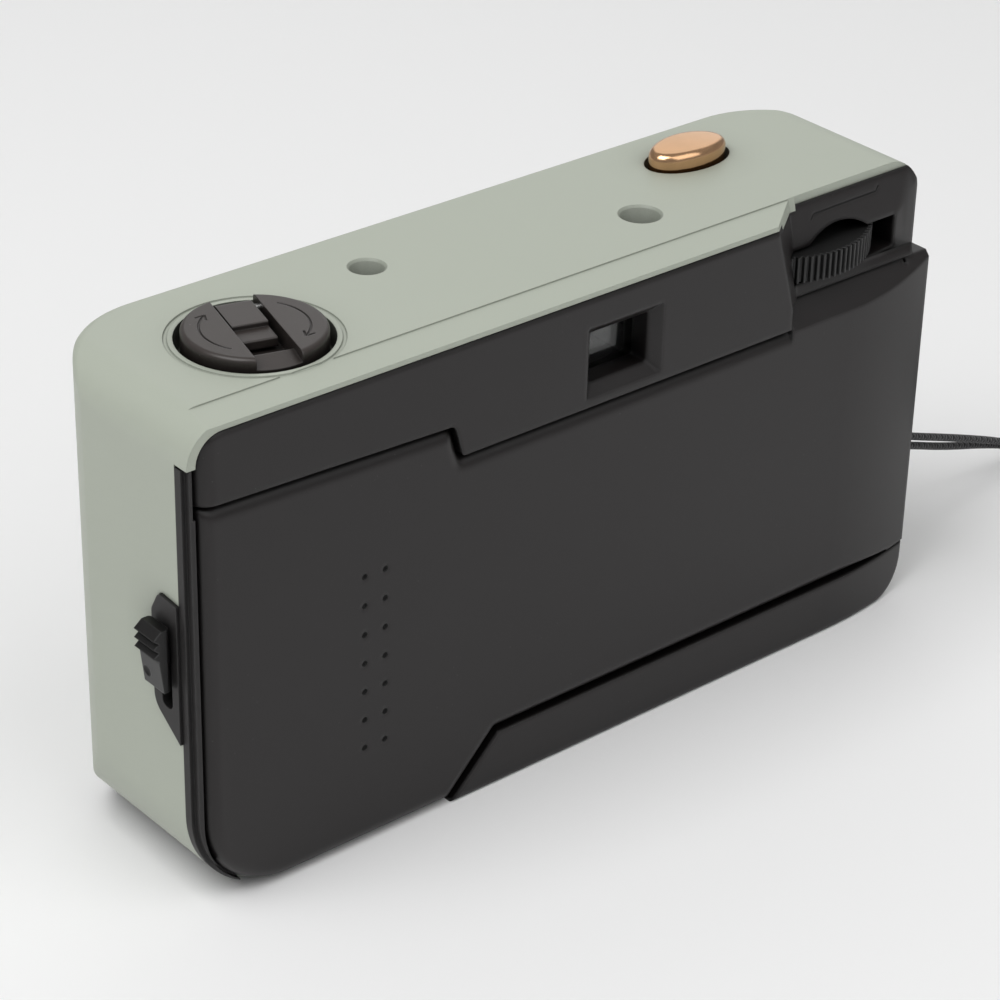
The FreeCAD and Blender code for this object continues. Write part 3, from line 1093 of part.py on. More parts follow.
def take_up_spool():
    """Spool with slots for the film's end, its flange and the journal that turns the counter."""
    low = CHASSIS_LOW_Z + CHASSIS_FLOOR + GAP
    high = CEILING_Z - CHASSIS_FLOOR - GAP
    flange = low + SPOOL_FLANGE_UP
    spool = spun(
        [(0, DIAL_Z), (SHAFT_R, DIAL_Z), (SHAFT_R, low), (SPOOL_R, low), (SPOOL_R, flange), (SPOOL_R + 1.6, flange),
         (SPOOL_R + 1.6, flange + 1), (SPOOL_R, flange + 1), (SPOOL_R, high), (0, high)], SPOOL_X, CHAMBER_Y)
    spool = spool.cut(upright(WHEEL_SHAFT_R, SPOOL_X, CHAMBER_Y, CEILING_Z - WHEEL_SHAFT_DEPTH, HEIGHT))
    for index in range(SPOOL_SLOTS):
        slot = box(SPOOL_R - 2.6, SPOOL_R + 1, -SPOOL_SLOT / 2, SPOOL_SLOT / 2, flange + 3, high - 3)
        slot.rotate(V(0, 0, 0), V(0, 0, 1), 90 + index * 360 / SPOOL_SLOTS)
        slot.translate(V(SPOOL_X, CHAMBER_Y, 0))
        spool = spool.cut(slot)
    return spool


def film_sprocket():
    """Two toothed discs on a core that the film's holes run over."""
    low = FILM_Z - SPROCKET_SPAN / 2 - SPROCKET_DISC / 2
    high = FILM_Z + SPROCKET_SPAN / 2 + SPROCKET_DISC / 2
    core = SPROCKET_PITCH_R * 0.7
    sprocket = upright(core, 0, 0, low, high)
    sprocket = sprocket.fuse(upright(SHAFT_R, 0, 0, CHASSIS_LOW_Z - 0.6, CEILING_Z - GAP))
    sprocket = sprocket.fuse(upright(SHAFT_R + 1, 0, 0, CHASSIS_LOW_Z + CHASSIS_FLOOR + GAP, low))
    tip = SPROCKET_PITCH_R + TOOTH_HEIGHT
    for z in (low, high - SPROCKET_DISC):
        sprocket = sprocket.fuse(upright(SPROCKET_PITCH_R, 0, 0, z, z + SPROCKET_DISC))
        for index in range(SPROCKET_TEETH):
            tooth = slab_along_z(
                [(SPROCKET_PITCH_R - 0.3, -0.95), (tip, -0.4), (tip, 0.4), (SPROCKET_PITCH_R - 0.3, 0.95)],
                [0, 0.2, 0.2, 0], z + 0.4, z + SPROCKET_DISC - 0.4)
            tooth.rotate(V(0, 0, 0), V(0, 0, 1), (index + 0.5) * 360 / SPROCKET_TEETH)
            sprocket = sprocket.fuse(tooth)
    sprocket.translate(V(SPROCKET_X, SPROCKET_Y, 0))
    return sprocket.removeSplitter()


def counter_dial():
    """Notched disc that counts the frames, on its pin under the chassis."""
    dial = upright(DIAL_R, DIAL_X, DIAL_Y, DIAL_Z, DIAL_Z + DIAL_THICK)
    for index in range(DIAL_NOTCHES):
        angle = 2 * math.pi * index / DIAL_NOTCHES
        dial = dial.cut(upright(
            0.3, DIAL_X + DIAL_R * math.cos(angle), DIAL_Y + DIAL_R * math.sin(angle), 0, HEIGHT))
    return dial.fuse(upright(DIAL_PIN_R, DIAL_X, DIAL_Y, DIAL_Z, CHASSIS_LOW_Z + CHASSIS_FLOOR - 2 * GAP))


def counter_window():
    """Pane in the base over the dial."""
    x, y = dial_window_place()
    pane = upright(WINDOW_R, x, y, 0.4, WALL)
    return pane.fuse(upright(WINDOW_R + 0.9, x, y, WALL, WALL + 0.6))


def shutter_button():
    """Domed oval button on its stem."""
    cap = button_outline(0, BUTTON_FOOT_Z, BUTTON_TOP_Z)
    cap = cap.common(Part.makeSphere(BUTTON_DOME_R, V(BUTTON_X, BUTTON_Y, BUTTON_TOP_Z - BUTTON_DOME_R)))
    stem = upright(BUTTON_STEM_R, BUTTON_X, BUTTON_Y, LEVER_TOP_Z + RUNNING, BUTTON_FOOT_Z + 0.1)
    return cap.fuse(stem).removeSplitter()


def coil(radius, x, y, low, high, turns):
    """An upright coil spring between two levels."""
    count = int(turns * COIL_SIDES)
    rise = (high - low - 2 * WIRE_R) / count
    step = 2 * math.pi / COIL_SIDES
    path = Part.makePolygon([
        V(x + radius * math.cos(k * step), y + radius * math.sin(k * step), low + WIRE_R + k * rise)
        for k in range(count + 1)])
    start = V(x + radius, y, low + WIRE_R)
    section = Part.makePolygon([
        start + V(WIRE_R * math.cos(k * math.pi / 3), 0, WIRE_R * math.sin(k * math.pi / 3)) for k in range(7)])
    return path.makePipeShell([section], True, False, 1)


def button_spring():
    """Return spring round the button's stem."""
    radius = BUTTON_STEM_R + WIRE_R + GAP
    return coil(radius, BUTTON_X, BUTTON_Y, BUTTON_FLOOR_Z, BUTTON_FOOT_Z, 1.5)


def release_lever():
    """Lever from the button's stem down to the shutter blade's tail, with its pin."""
    front = BUTTON_Y - LEVER_WIDTH / 2
    rear = BUTTON_Y + LEVER_WIDTH / 2
    lever = rearward(LEVER_BARREL_R, LEVER_X, LEVER_Z, front, rear)
    lever = lever.fuse(box(
        BUTTON_X - BUTTON_STEM_R, LEVER_X, front, rear, LEVER_Z - LEVER_THICK / 2, LEVER_Z + LEVER_THICK / 2))
    half = LEVER_THICK
    foot = LEVER_Z - LEVER_DROP
    lever = lever.fuse(box(LEVER_X - half, LEVER_X + half, front, front + 1.5, foot, LEVER_Z))
    lever = lever.fuse(box(LEVER_X - half, LEVER_X + half, SHUTTER_Y - BLADE_THICK - 0.7, front, foot, foot + 1.8))
    return lever.fuse(rearward(LEVER_PIN_R, LEVER_X, LEVER_Z, front - WALL, rear + WALL))


def shutter_plate():
    """Front sheet of the shutter, with the fixed aperture."""
    x = SHUTTER_HALF_WIDTH
    z = SHUTTER_HALF_HEIGHT
    rear = SHUTTER_Y - BLADE_THICK - 0.8
    plate = slab_along_y(rectangle(-x, x, LENS_Z - z, LENS_Z + z), [2.0] * 4, rear - SHUTTER_SHEET, rear)
    return plate.cut(rearward(APERTURE_R, 0, LENS_Z, FRONT_Y, 0))


def shutter_blade():
    """Swinging blade with its tail and its pin."""
    rear = SHUTTER_Y - 0.4
    front = rear - BLADE_THICK
    tail_x = BLADE_PIVOT_X - BLADE_TAIL * math.cos(math.radians(BLADE_SWING))
    tail_z = BLADE_PIVOT_Z + BLADE_TAIL * math.sin(math.radians(BLADE_SWING))
    blade = rearward(BLADE_R, 0, LENS_Z, front, rear)
    blade = blade.fuse(rearward(BLADE_PIN_R + 1, BLADE_PIVOT_X, BLADE_PIVOT_Z, front, rear))
    for x, z, width in ((0, LENS_Z, 3.0), (tail_x, tail_z, 1.6)):
        along = V(x - BLADE_PIVOT_X, 0, z - BLADE_PIVOT_Z)
        length = along.Length
        arm = box(0, length, front, rear, -width / 2, width / 2)
        arm.rotate(V(0, 0, 0), V(0, 1, 0), -math.degrees(math.atan2(along.z, along.x)))
        arm.translate(V(BLADE_PIVOT_X, 0, BLADE_PIVOT_Z))
        blade = blade.fuse(arm)
    pin = rearward(BLADE_PIN_R, BLADE_PIVOT_X, BLADE_PIVOT_Z, rear, SHUTTER_Y + 3.2)
    head = rearward(BLADE_PIN_R + 0.5, BLADE_PIVOT_X, BLADE_PIVOT_Z, SHUTTER_Y + 3.2, SHUTTER_Y + 3.8)
    return blade.fuse(pin).fuse(head).removeSplitter()


def shutter_spring():
    """Spring coil round the blade's pin, behind the shutter's base."""
    spring = coil(BLADE_PIN_R + WIRE_R + GAP, 0, 0, 0, 1.4, 3)
    spring.rotate(V(0, 0, 0), V(1, 0, 0), -90)
    spring.translate(V(BLADE_PIVOT_X, SHUTTER_Y + 1.5, BLADE_PIVOT_Z))
    return spring


def lens_barrel():
    """Barrel with its flange behind the shell's front and the seats of both lenses."""
    tip = FRONT_Y - BARREL_STANDS_OUT
    flange = FRONT_Y + WALL + GAP
    rear = SHUTTER_Y - BLADE_THICK - 0.8 - SHUTTER_SHEET - GAP
    return spun_about_lens([
        (BARREL_R, tip), (BARREL_R, flange), (BARREL_R + 2.5, flange), (BARREL_R + 2.5, rear), (GLASS_R - 0.8, rear),
        (GLASS_R - 0.8, FRONT_Y + 1.1), (GLASS_R, FRONT_Y + 1.1), (GLASS_R, FRONT_Y - 1.3),
        (GLASS_R + 0.8, FRONT_Y - 1.3), (BARREL_R - 1.2, tip + 0.5), (BARREL_R - 0.8, tip)])


def lens_bezel():
    """Sloped ring on the shell's front."""
    return spun_about_lens([
        (BARREL_R + GAP, FRONT_Y), (BARREL_R + GAP, FRONT_Y - BEZEL_THICK),
        (BARREL_R + GAP + 1, FRONT_Y - BEZEL_THICK), (BEZEL_R, FRONT_Y - 0.6), (BEZEL_R, FRONT_Y)])


def front_lens():
    """Front glass, seated in the barrel."""
    front = FRONT_Y - 1.2
    glass = rearward(GLASS_R, 0, LENS_Z, front, FRONT_Y + 1.1)
    return glass.common(Part.makeSphere(GLASS_CURVE, V(0, front + GLASS_CURVE, LENS_Z)))


def rear_lens():
    """Rear glass, in the narrow end of the barrel."""
    rear = FRONT_Y + 2.9
    glass = rearward(GLASS_R - 0.8, 0, LENS_Z, rear - 1.4, rear)
    return glass.common(Part.makeSphere(GLASS_CURVE, V(0, rear - GLASS_CURVE, LENS_Z)))


def rewind_release_button():
    """Small button in the base that frees the sprocket for rewinding."""
    button = upright(RELEASE_R, SPROCKET_X, SPROCKET_Y, GAP, WALL + 2 * GAP)
    return button.fuse(upright(RELEASE_R + 1, SPROCKET_X, SPROCKET_Y, WALL + GAP, WALL + 3 * GAP))


def rewind_release_spring():
    """Spring between the release button and the chassis."""
    return coil(RELEASE_R + 0.4, SPROCKET_X, SPROCKET_Y, WALL + 3 * GAP, CHASSIS_LOW_Z, 3)


def top_screws():
    """The two screws at the bottom of the deep holes."""
    screws = []
    for x, y, r in screw_places():
        seat = HEIGHT - SCREW_SINK
        head_r = r - FUNNEL_NARROWS - RUNNING
        slot = head_r * 0.75
        head = upright(head_r, x, y, seat, seat + 1.2)
        head = head.cut(box(x - 0.25, x + 0.25, y - slot, y + slot, seat + 0.7, seat + 2))
        head = head.cut(box(x - slot, x + slot, y - 0.25, y + 0.25, seat + 0.7, seat + 2))
        screws.append(head.fuse(upright(SCREW_SHANK_R, x, y, seat - SCREW_BITE, seat)).removeSplitter())
    return Part.makeCompound(screws)


def base_screws():
    """The two screws in the base."""
    screws = []
    for x, y in base_screw_places():
        head = upright(BASE_SCREW_R, x, y, 0.1, WALL / 2)
        head = head.cut(box(x - 0.25, x + 0.25, y - BASE_SCREW_R * 0.7, y + BASE_SCREW_R * 0.7, 0, 0.5))
        head = head.cut(box(x - BASE_SCREW_R * 0.7, x + BASE_SCREW_R * 0.7, y - 0.25, y + 0.25, 0, 0.5))
        screws.append(head.fuse(upright(SCREW_SHANK_R, x, y, WALL / 2, CHASSIS_LOW_Z + BASE_SCREW_BITE)).removeSplitter())
    return Part.makeCompound(screws)


def strap_pin():
    """Bar across the strap's pocket."""
    reach = STRAP_POCKET / 2 + 1
    return rearward(STRAP_BAR_R, -END_X + STRAP_BAR_IN, STRAP_Z, -reach, reach)


def strap_cord():
    """Thin cord along its route: straight runs joined by arcs as large as the runs allow."""
    points = [V(*place) for place in CORD_ROUTE]
    edges = []
    start = points[0]
    for before, corner, after in zip(points, points[1:], points[2:]):
        back = before - corner
        ahead = after - corner
        half_turn = (math.pi - back.getAngle(ahead)) / 2
        reach = 0.45 * min(back.Length, ahead.Length)
        radius = reach / math.tan(half_turn)
        back.normalize()
        ahead.normalize()
        inward = (back + ahead).normalize()
        middle = corner + inward * (radius / math.cos(half_turn) - radius)
        enter = corner + back * reach
        leave = corner + ahead * reach
        edges.append(Part.LineSegment(start, enter).toShape())
        edges.append(Part.Arc(enter, middle, leave).toShape())
        start = leave
    edges.append(Part.LineSegment(start, points[-1]).toShape())
    path = Part.Wire(edges)
    across = V(0, 1, 0)
    upward = (points[1] - points[0]).cross(across).normalize()
    across = upward.cross(points[1] - points[0]).normalize()
    section = Part.makePolygon([
        points[0] + across * (CORD_R * math.cos(k * math.pi / 4)) + upward * (CORD_R * math.sin(k * math.pi / 4))
        for k in range(9)])
    cord = path.makePipeShell([section], True, False)
    share = cord.Volume / (math.pi * CORD_R ** 2 * path.Length)
    print("cord length", round(path.Length, 1), "volume as a share of its section times its length", round(share, 4))
    return cord


def strap_crimp():
    """Sleeve that joins the thin cord to the wrist cord, lying on its side."""
    sleeve = Part.makeCylinder(CRIMP_R, CRIMP_LENGTH, V(CRIMP_X, 0, CRIMP_R), V(-1, 0, 0))
    return sleeve.makeChamfer(0.3, [edge for edge in sleeve.Edges if edge.BoundBox.XLength < 0.01])


def wrist_leads():
    """The wrist cord's two ends, from the sleeve to the coil."""
    leads = []
    for level in (WRIST_CORD_R, 3.1 * WRIST_CORD_R):
        leads.append(Part.makeCylinder(
            WRIST_CORD_R, WRIST_LEAD, V(CRIMP_X - CRIMP_LENGTH, 0, level), V(-1, 0, 0)))
    return Part.makeCompound(leads)


def wrist_coil():
    """Outer form of the coiled wrist cord."""
    spread = WRIST_COIL_SPREAD * WRIST_CORD_R
    outer = WRIST_COIL_R + spread
    inner = WRIST_COIL_R - spread
    x = CRIMP_X - CRIMP_LENGTH - 2 * WRIST_LEAD
    y = outer - WRIST_CORD_R
    ring = upright(outer, x, y, 0, 4 * WRIST_CORD_R).cut(upright(inner, x, y, 0, 4 * WRIST_CORD_R))
    return ring.makeChamfer(0.6 * WRIST_CORD_R, [edge for edge in ring.Edges if edge.BoundBox.ZLength < 0.01])


def save(name, shape):
    """Writes one piece as a STEP file."""
    shape.exportStep(os.path.join("parts", name + ".step"))
    solids = len(shape.Solids)
    print(name, "solids", solids, "valid", shape.isValid(), "volume", round(shape.Volume, 1))


def main():
    """Builds every piece and writes it."""
    os.makedirs("parts", exist_ok=True)
    save("front_shell", front_shell())
    save("rear_top_cover", rear_top_cover())
    save("lower_rear_cover", lower_rear_cover())
    save("back_door", back_door())
    save("door_hinge_pin", door_hinge_pin())
    save("eyepiece_lens", eyepiece_lens())
    save("viewfinder_window", viewfinder_window())
    chassis = film_chassis()
    save("cartridge_chamber", chassis_length(chassis, PART_X, END_X))
    save("film_gate", chassis_length(chassis, -PART_X, PART_X))
    save("take_up_chamber", chassis_length(chassis, -END_X - KNUCKLE_R, -PART_X))
    save("door_hook", door_hook())
    save("pressure_plate", pressure_plate())
    save("pressure_spring", pressure_spring())
    save("latch_guide", latch_guide())
    save("latch_slider", latch_slider())
    save("latch_catch", latch_catch())
    save("rewind_knob", rewind_knob())
    save("crank_pin", crank_pin())
    save("rewind_crank", rewind_crank())
    save("rewind_shaft", rewind_shaft())
    save("rewind_washer", rewind_washer())
    save("advance_wheel", advance_wheel())
    save("take_up_spool", take_up_spool())
    save("film_sprocket", film_sprocket())
    save("counter_dial", counter_dial())
    save("counter_window", counter_window())
    save("shutter_button", shutter_button())
    save("button_spring", button_spring())
    save("release_lever", release_lever())
    save("shutter_plate", shutter_plate())
    save("shutter_blade", shutter_blade())
    save("shutter_spring", shutter_spring())
    save("lens_barrel", lens_barrel())
    save("lens_bezel", lens_bezel())
    save("front_lens", front_lens())
    save("rear_lens", rear_lens())
    save("rewind_release_button", rewind_release_button())
    save("rewind_release_spring", rewind_release_spring())
    save("top_screws", top_screws())
    save("base_screws", base_screws())
    save("strap_pin", strap_pin())
    save("strap_cord", strap_cord())
    save("strap_crimp", strap_crimp())
    save("wrist_leads", wrist_leads())
    save("wrist_coil", wrist_coil())


if __name__ == "__main__":
    main()
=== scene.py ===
"""Compact film camera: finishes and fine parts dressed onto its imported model.

Run as a script in Blender 4.5. Metres, +Z up, the lens looks along -Y and the film door is on the +Y side.
"""

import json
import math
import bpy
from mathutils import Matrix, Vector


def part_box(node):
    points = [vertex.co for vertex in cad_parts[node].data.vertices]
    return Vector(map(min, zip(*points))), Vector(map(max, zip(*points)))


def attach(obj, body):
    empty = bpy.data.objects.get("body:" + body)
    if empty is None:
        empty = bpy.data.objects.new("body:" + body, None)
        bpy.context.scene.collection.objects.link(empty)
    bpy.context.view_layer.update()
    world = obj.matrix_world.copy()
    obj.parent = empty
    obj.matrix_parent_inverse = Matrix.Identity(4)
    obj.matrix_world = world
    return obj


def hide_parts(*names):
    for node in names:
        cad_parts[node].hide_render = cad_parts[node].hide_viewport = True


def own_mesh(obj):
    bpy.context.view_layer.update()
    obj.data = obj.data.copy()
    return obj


bl_info = {
    "name": "Film camera dressing",
    "version": (1, 0, 0),
    "blender": (4, 5, 0),
    "location": "View3D > Sidebar > Film camera",
    "description": "Gives a compact film camera its finishes, engraving, springs, screws and strap",
    "category": "Object",
}

import bmesh
import bpy
from bpy.props import FloatProperty, FloatVectorProperty, IntProperty, PointerProperty
from mathutils import Matrix, Vector

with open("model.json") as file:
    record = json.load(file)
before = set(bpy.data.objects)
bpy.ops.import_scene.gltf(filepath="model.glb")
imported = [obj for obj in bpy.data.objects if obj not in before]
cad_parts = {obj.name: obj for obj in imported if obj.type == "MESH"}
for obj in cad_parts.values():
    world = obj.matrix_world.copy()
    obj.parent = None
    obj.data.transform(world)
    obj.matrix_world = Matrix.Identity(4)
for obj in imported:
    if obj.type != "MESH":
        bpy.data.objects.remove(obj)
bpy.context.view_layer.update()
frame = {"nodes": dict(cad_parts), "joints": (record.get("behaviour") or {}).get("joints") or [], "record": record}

BODY_OF = {node: body for body, nodes in frame["record"]["behaviour"]["bodies"].items() for node in nodes}
SLOT_OF = {row["node"]: row["material_slot"] for row in frame["record"]["subparts"]}
JOINTS = {joint["name"]: joint for joint in frame["joints"]}

# The photograph's viewpoint: place in metres, turn in degrees and focal length in millimetres
VIEW_PLACE = (0.22133, 0.25605, 0.21990)
VIEW_TURN = (60.4334, -1.1940, 139.9926)
VIEW_LENS = 114.03
VIEW_SENSOR = 36.0

# The studio: the floor's rings as radius and height, and each lamp's size, place and aim
FLOOR_RINGS = (
    (0.0, 0.0), (0.5, 0.0), (1.5, 0.0), (3.0, 0.0), (4.0, 0.3), (4.6, 1.0), (4.8, 2.2), (4.8, 4.0))
FLOOR_STEPS = 48
LAMPS = {
    "key": (0.8, (0.6, 0.02, 1.05), (0, 0, 0.03)),
    "fill": (1.2, (-0.2, 0.9, 1.1), (0, 0, 0.03)),
    "rim": (1.4, (-1.3, -1.35, 0.95), (0, 0, 0.05)),
}

# Mouldings: depth of the grain, and how dark the painted shade at the bottom of a gap or hole is against its
# surroundings
GRAIN_DEPTH = 0.000004
PAINTED_SHADE_TONE = 0.2

# The rewind knob's two arrows
ARROW_RADIUS = 0.0062
ARROW_HALF_ANGLE = math.radians(46)
ARROW_STEPS = 12
ARROW_HEAD_LONG = 0.0011
ARROW_HEAD_WIDE = 0.0007

# The index line over the thumbwheel, as X and Z on the recess's wall, and a point inside it
INDEX_LINE = (
    (-0.0383, 0.0590), (-0.0389, 0.0597), (-0.0441, 0.05975), (-0.0498, 0.0598), (-0.0503, 0.0604))
INDEX_MIDDLE = (-0.044, 0.0597)

# Where the recess's lip stops: its distance from the shell's end, and its rear and upper limits
LIP_FROM_END = 0.0021
LIP_REAR = 0.0119
LIP_TOP = 0.0535
LIP_BLOCK = Vector((0.01, 0.02, 0.02))

# Wire springs: the node, the piece, its turns and the joint that presses it
SPRING_WIRE = 0.0002
SPRING_SPARE = 0.00006
SPRINGS = (
    ("button_spring", "button_coil", 2.5, "button_press"),
    ("rewind_release_spring", "release_coil", 3.0, "release_push"),
    ("shutter_spring", "shutter_coil", 3.0, None),
)

# The counter dial's marks
MARK_LONG = 0.0008
MARK_WIDE = 0.00018
MARK_TALL = 0.00008
MARK_FROM_RIM = 0.0012

# The strap's thin cord, in millimetres: out of the crimp, round the strap bar and back
STRAP_ROUTE = (
    (-103.0, 0.65, 1.95), (-98.0, 0.65, 3.0), (-91.5, 0.6, 6.05), (-82.6, 0.4, 9.4), (-72.25, 0.2, 12.98),
    (-63.4, 0.1, 16.5), (-58.3, 0.0, 18.5), (-55.45, 0.0, 19.44), (-54.2, 0.0, 18.32), (-54.56, 0.0, 16.68),
    (-57.4, 0.0, 15.75), (-62.7, -0.1, 14.28), (-71.8, -0.2, 11.6), (-81.2, -0.4, 8.1), (-90.5, -0.6, 5.3),
    (-98.0, -0.65, 2.5), (-103.0, -0.65, 1.85))

# The wrist cord's coil: points in a turn, turns in the lower and the upper layer, and the straight ends
COIL_STEPS = 24
COIL_TURNS_IN = 1.5
COIL_TURNS_OUT = 2
COIL_CROSSING = 12
COIL_ENDS = (0.003, 0.006)


def colour(name, description, value):
    """A colour that a user may change, in linear light."""
    return FloatVectorProperty(
        name=name, description=description, subtype="COLOR", size=3, min=0, max=1, default=value)


def length(name, description, value):
    """A length that a user may change, in metres."""
    return FloatProperty(
        name=name, description=description, subtype="DISTANCE", unit="LENGTH", precision=5, default=value)


def power(name, description, value):
    """A lamp's power that a user may change, in watts."""
    return FloatProperty(name=name, description=description, default=value, min=0, unit="POWER")


class CameraColours(bpy.types.PropertyGroup):
    shell: colour("Shell", "Sage green of the front shell", (0.395, 0.425, 0.36))
    rear: colour("Rear", "Black of the door and the covers", (0.011, 0.009, 0.009))
    inner: colour("Chassis", "Black of the mouldings inside", (0.015, 0.0135, 0.0135))
    knob: colour("Knob", "Brown grey of the rewind knob and crank", (0.04, 0.033, 0.03))
    wheel: colour("Wheel", "Black of the thumbwheel", (0.012, 0.012, 0.012))
    latch: colour("Latch", "Black of the door latch", (0.007, 0.0065, 0.0065))
    copper: colour("Button", "Copper of the shutter button", (0.68, 0.41, 0.23))
    lens: colour("Lens ring", "Black of the lens ring and barrel", (0.015, 0.015, 0.016))
    white: colour("Inner white", "White of the sprocket and the counter dial", (0.72, 0.71, 0.67))
    steel: colour("Steel", "Bare steel of pins and springs", (0.56, 0.56, 0.55))
    blued: colour("Blued steel", "Dark steel of screws and sheet parts", (0.11, 0.11, 0.115))
    cord: colour("Cord", "Black of the strap", (0.014, 0.014, 0.015))


class CameraSizes(bpy.types.PropertyGroup):
    grain: length("Grain", "Pitch of the fine moulded grain", 0.00022)
    edge: length("Edge", "Softening of the moulded edges", 0.00018)
    rear_edge: length("Rear edge", "Softening of the door's and the covers' edges", 0.0008)
    groove_width: length("Groove width", "Width of an engraved line", 0.00036)
    groove_depth: length("Groove depth", "Depth of an engraved line", 0.00014)
    strap: length("Strap cord", "Diameter of the strap's thin cord", 0.0011)
    wrist: length("Wrist cord", "Diameter of the wrist cord", 0.002)
    button_round: length("Button rim", "Rounding of the shutter button's upper rim", 0.0009)
    marks: IntProperty(
        name="Dial marks", description="Frame marks round the counter dial", default=38, min=12, max=40)


class StageLook(bpy.types.PropertyGroup):
    floor: colour("Floor", "Pale grey of the floor and backdrop", (0.86, 0.86, 0.86))
    key: power("Key lamp", "Power of the key lamp", 9.3)
    fill: power("Fill lamp", "Power of the fill lamp", 6.0)
    rim: power("Rim lamp", "Power of the lamp behind", 4.5)
    sky: FloatProperty(name="Sky", description="Strength of the even light all round", default=0.36, min=0)


def palette():
    """The colours of this scene."""
    return bpy.context.scene.film_camera_colours


def sizes():
    """The sizes of this scene."""
    return bpy.context.scene.film_camera_sizes


# Shader groups


def new_group(name, inputs, outputs):
    """A shader node group with named float inputs and outputs."""
    tree = bpy.data.node_groups.new(name, "ShaderNodeTree")
    for label, value in inputs.items():
        socket = tree.interface.new_socket(name=label, in_out="INPUT", socket_type="NodeSocketFloat")
        socket.default_value = value
    for label in outputs:
        kind = "NodeSocketVector" if label == "Normal" else "NodeSocketFloat"
        tree.interface.new_socket(name=label, in_out="OUTPUT", socket_type=kind)
    return tree, tree.nodes.new("NodeGroupInput"), tree.nodes.new("NodeGroupOutput")


def math_node(tree, operation, first, second):
    """A Math node fed by sockets or plain numbers."""
    node = tree.nodes.new("ShaderNodeMath")
    node.operation = operation
    for index, value in enumerate((first, second)):
        if isinstance(value, (int, float)):
            node.inputs[index].default_value = value
        else:
            tree.links.new(value, node.inputs[index])
    return node.outputs[0]


def object_noise(tree, scale, detail, roughness=0.5):
    """Noise on Object coordinates; scale is a socket or a number, in cycles per metre."""
    place = tree.nodes.new("ShaderNodeTexCoord")
    noise = tree.nodes.new("ShaderNodeTexNoise")
    noise.inputs["Detail"].default_value = detail
    noise.inputs["Roughness"].default_value = roughness
    tree.links.new(place.outputs["Object"], noise.inputs["Vector"])
    if isinstance(scale, (int, float)):
        noise.inputs["Scale"].default_value = scale
    else:
        tree.links.new(scale, noise.inputs["Scale"])
    return noise.outputs["Fac"]


def grain_group():
    """Fine moulded grain, and slow clouds of tone and gloss."""
    tree, given, made = new_group("moulded grain", {"Pitch": 0.0002, "Cloud": 0.02}, ("Grain", "Tone"))
    per_grain = math_node(tree, "DIVIDE", 1.0, given.outputs["Pitch"])
    per_cloud = math_node(tree, "DIVIDE", 1.0, given.outputs["Cloud"])
    tree.links.new(object_noise(tree, per_grain, 2.0), made.inputs["Grain"])
    tree.links.new(object_noise(tree, per_cloud, 3.0, 0.6), made.inputs["Tone"])
    return tree


def edge_wear_and_light_group():
    """Where handling has scuffed the corners, partly real scuffing and partly a painted edge highlight, broken up
    by noise.
    """
    tree, given, made = new_group("rubbed edges", {"Amount": 0.5, "Patch": 0.003}, ("Rubbed",))
    corner = tree.nodes.new("ShaderNodeBevel")
    corner.samples = 4
    corner.inputs["Radius"].default_value = 0.0003
    flat = tree.nodes.new("ShaderNodeNewGeometry")
    agree = tree.nodes.new("ShaderNodeVectorMath")
    agree.operation = "DOT_PRODUCT"
    tree.links.new(corner.outputs["Normal"], agree.inputs[0])
    tree.links.new(flat.outputs["Normal"], agree.inputs[1])
    edge = tree.nodes.new("ShaderNodeMapRange")
    edge.inputs["From Min"].default_value = 0.995
    edge.inputs["From Max"].default_value = 0.9
    tree.links.new(agree.outputs["Value"], edge.inputs["Value"])
    patch = object_noise(tree, math_node(tree, "DIVIDE", 1.0, given.outputs["Patch"]), 4.0, 0.65)
    broken = math_node(tree, "MULTIPLY", edge.outputs["Result"], patch)
    tree.links.new(math_node(tree, "MULTIPLY", broken, given.outputs["Amount"]), made.inputs["Rubbed"])
    return tree


def dust_group():
    """Sparse pale specks."""
    tree, given, made = new_group("dust", {"Pitch": 0.0012, "Amount": 0.4}, ("Speck",))
    place = tree.nodes.new("ShaderNodeTexCoord")
    cells = tree.nodes.new("ShaderNodeTexVoronoi")
    tree.links.new(place.outputs["Object"], cells.inputs["Vector"])
    tree.links.new(math_node(tree, "DIVIDE", 1.0, given.outputs["Pitch"]), cells.inputs["Scale"])
    near = math_node(tree, "LESS_THAN", cells.outputs["Distance"], 0.07)
    chosen = math_node(tree, "GREATER_THAN", object_noise(tree, 160.0, 2.0), 0.6)
    speck = math_node(tree, "MULTIPLY", math_node(tree, "MULTIPLY", near, chosen), given.outputs["Amount"])
    tree.links.new(speck, made.inputs["Speck"])
    return tree


def strand_group():
    """Slanted strands of a braided cord that runs mostly along X."""
    tree, given, made = new_group("braid", {"Pitch": 0.0008}, ("Strand",))
    place = tree.nodes.new("ShaderNodeTexCoord")
    split = tree.nodes.new("ShaderNodeSeparateXYZ")
    tree.links.new(place.outputs["Object"], split.inputs[0])
    around = math_node(tree, "ADD", split.outputs["Y"], split.outputs["Z"])
    turn = math_node(tree, "DIVIDE", 2 * math.pi, given.outputs["Pitch"])
    strands = []
    for slant in ("ADD", "SUBTRACT"):
        phase = math_node(tree, "MULTIPLY", math_node(tree, slant, split.outputs["X"], around), turn)
        strands.append(math_node(tree, "SINE", phase, 0.0))
    tree.links.new(math_node(tree, "MAXIMUM", *strands), made.inputs["Strand"])
    return tree


def edge_group():
    """A normal that rounds the corners of a moulding."""
    tree, given, made = new_group("soft corners", {"Radius": 0.0002}, ("Normal",))
    corner = tree.nodes.new("ShaderNodeBevel")
    corner.samples = 6
    tree.links.new(given.outputs["Radius"], corner.inputs["Radius"])
    tree.links.new(corner.outputs["Normal"], made.inputs["Normal"])
    return tree


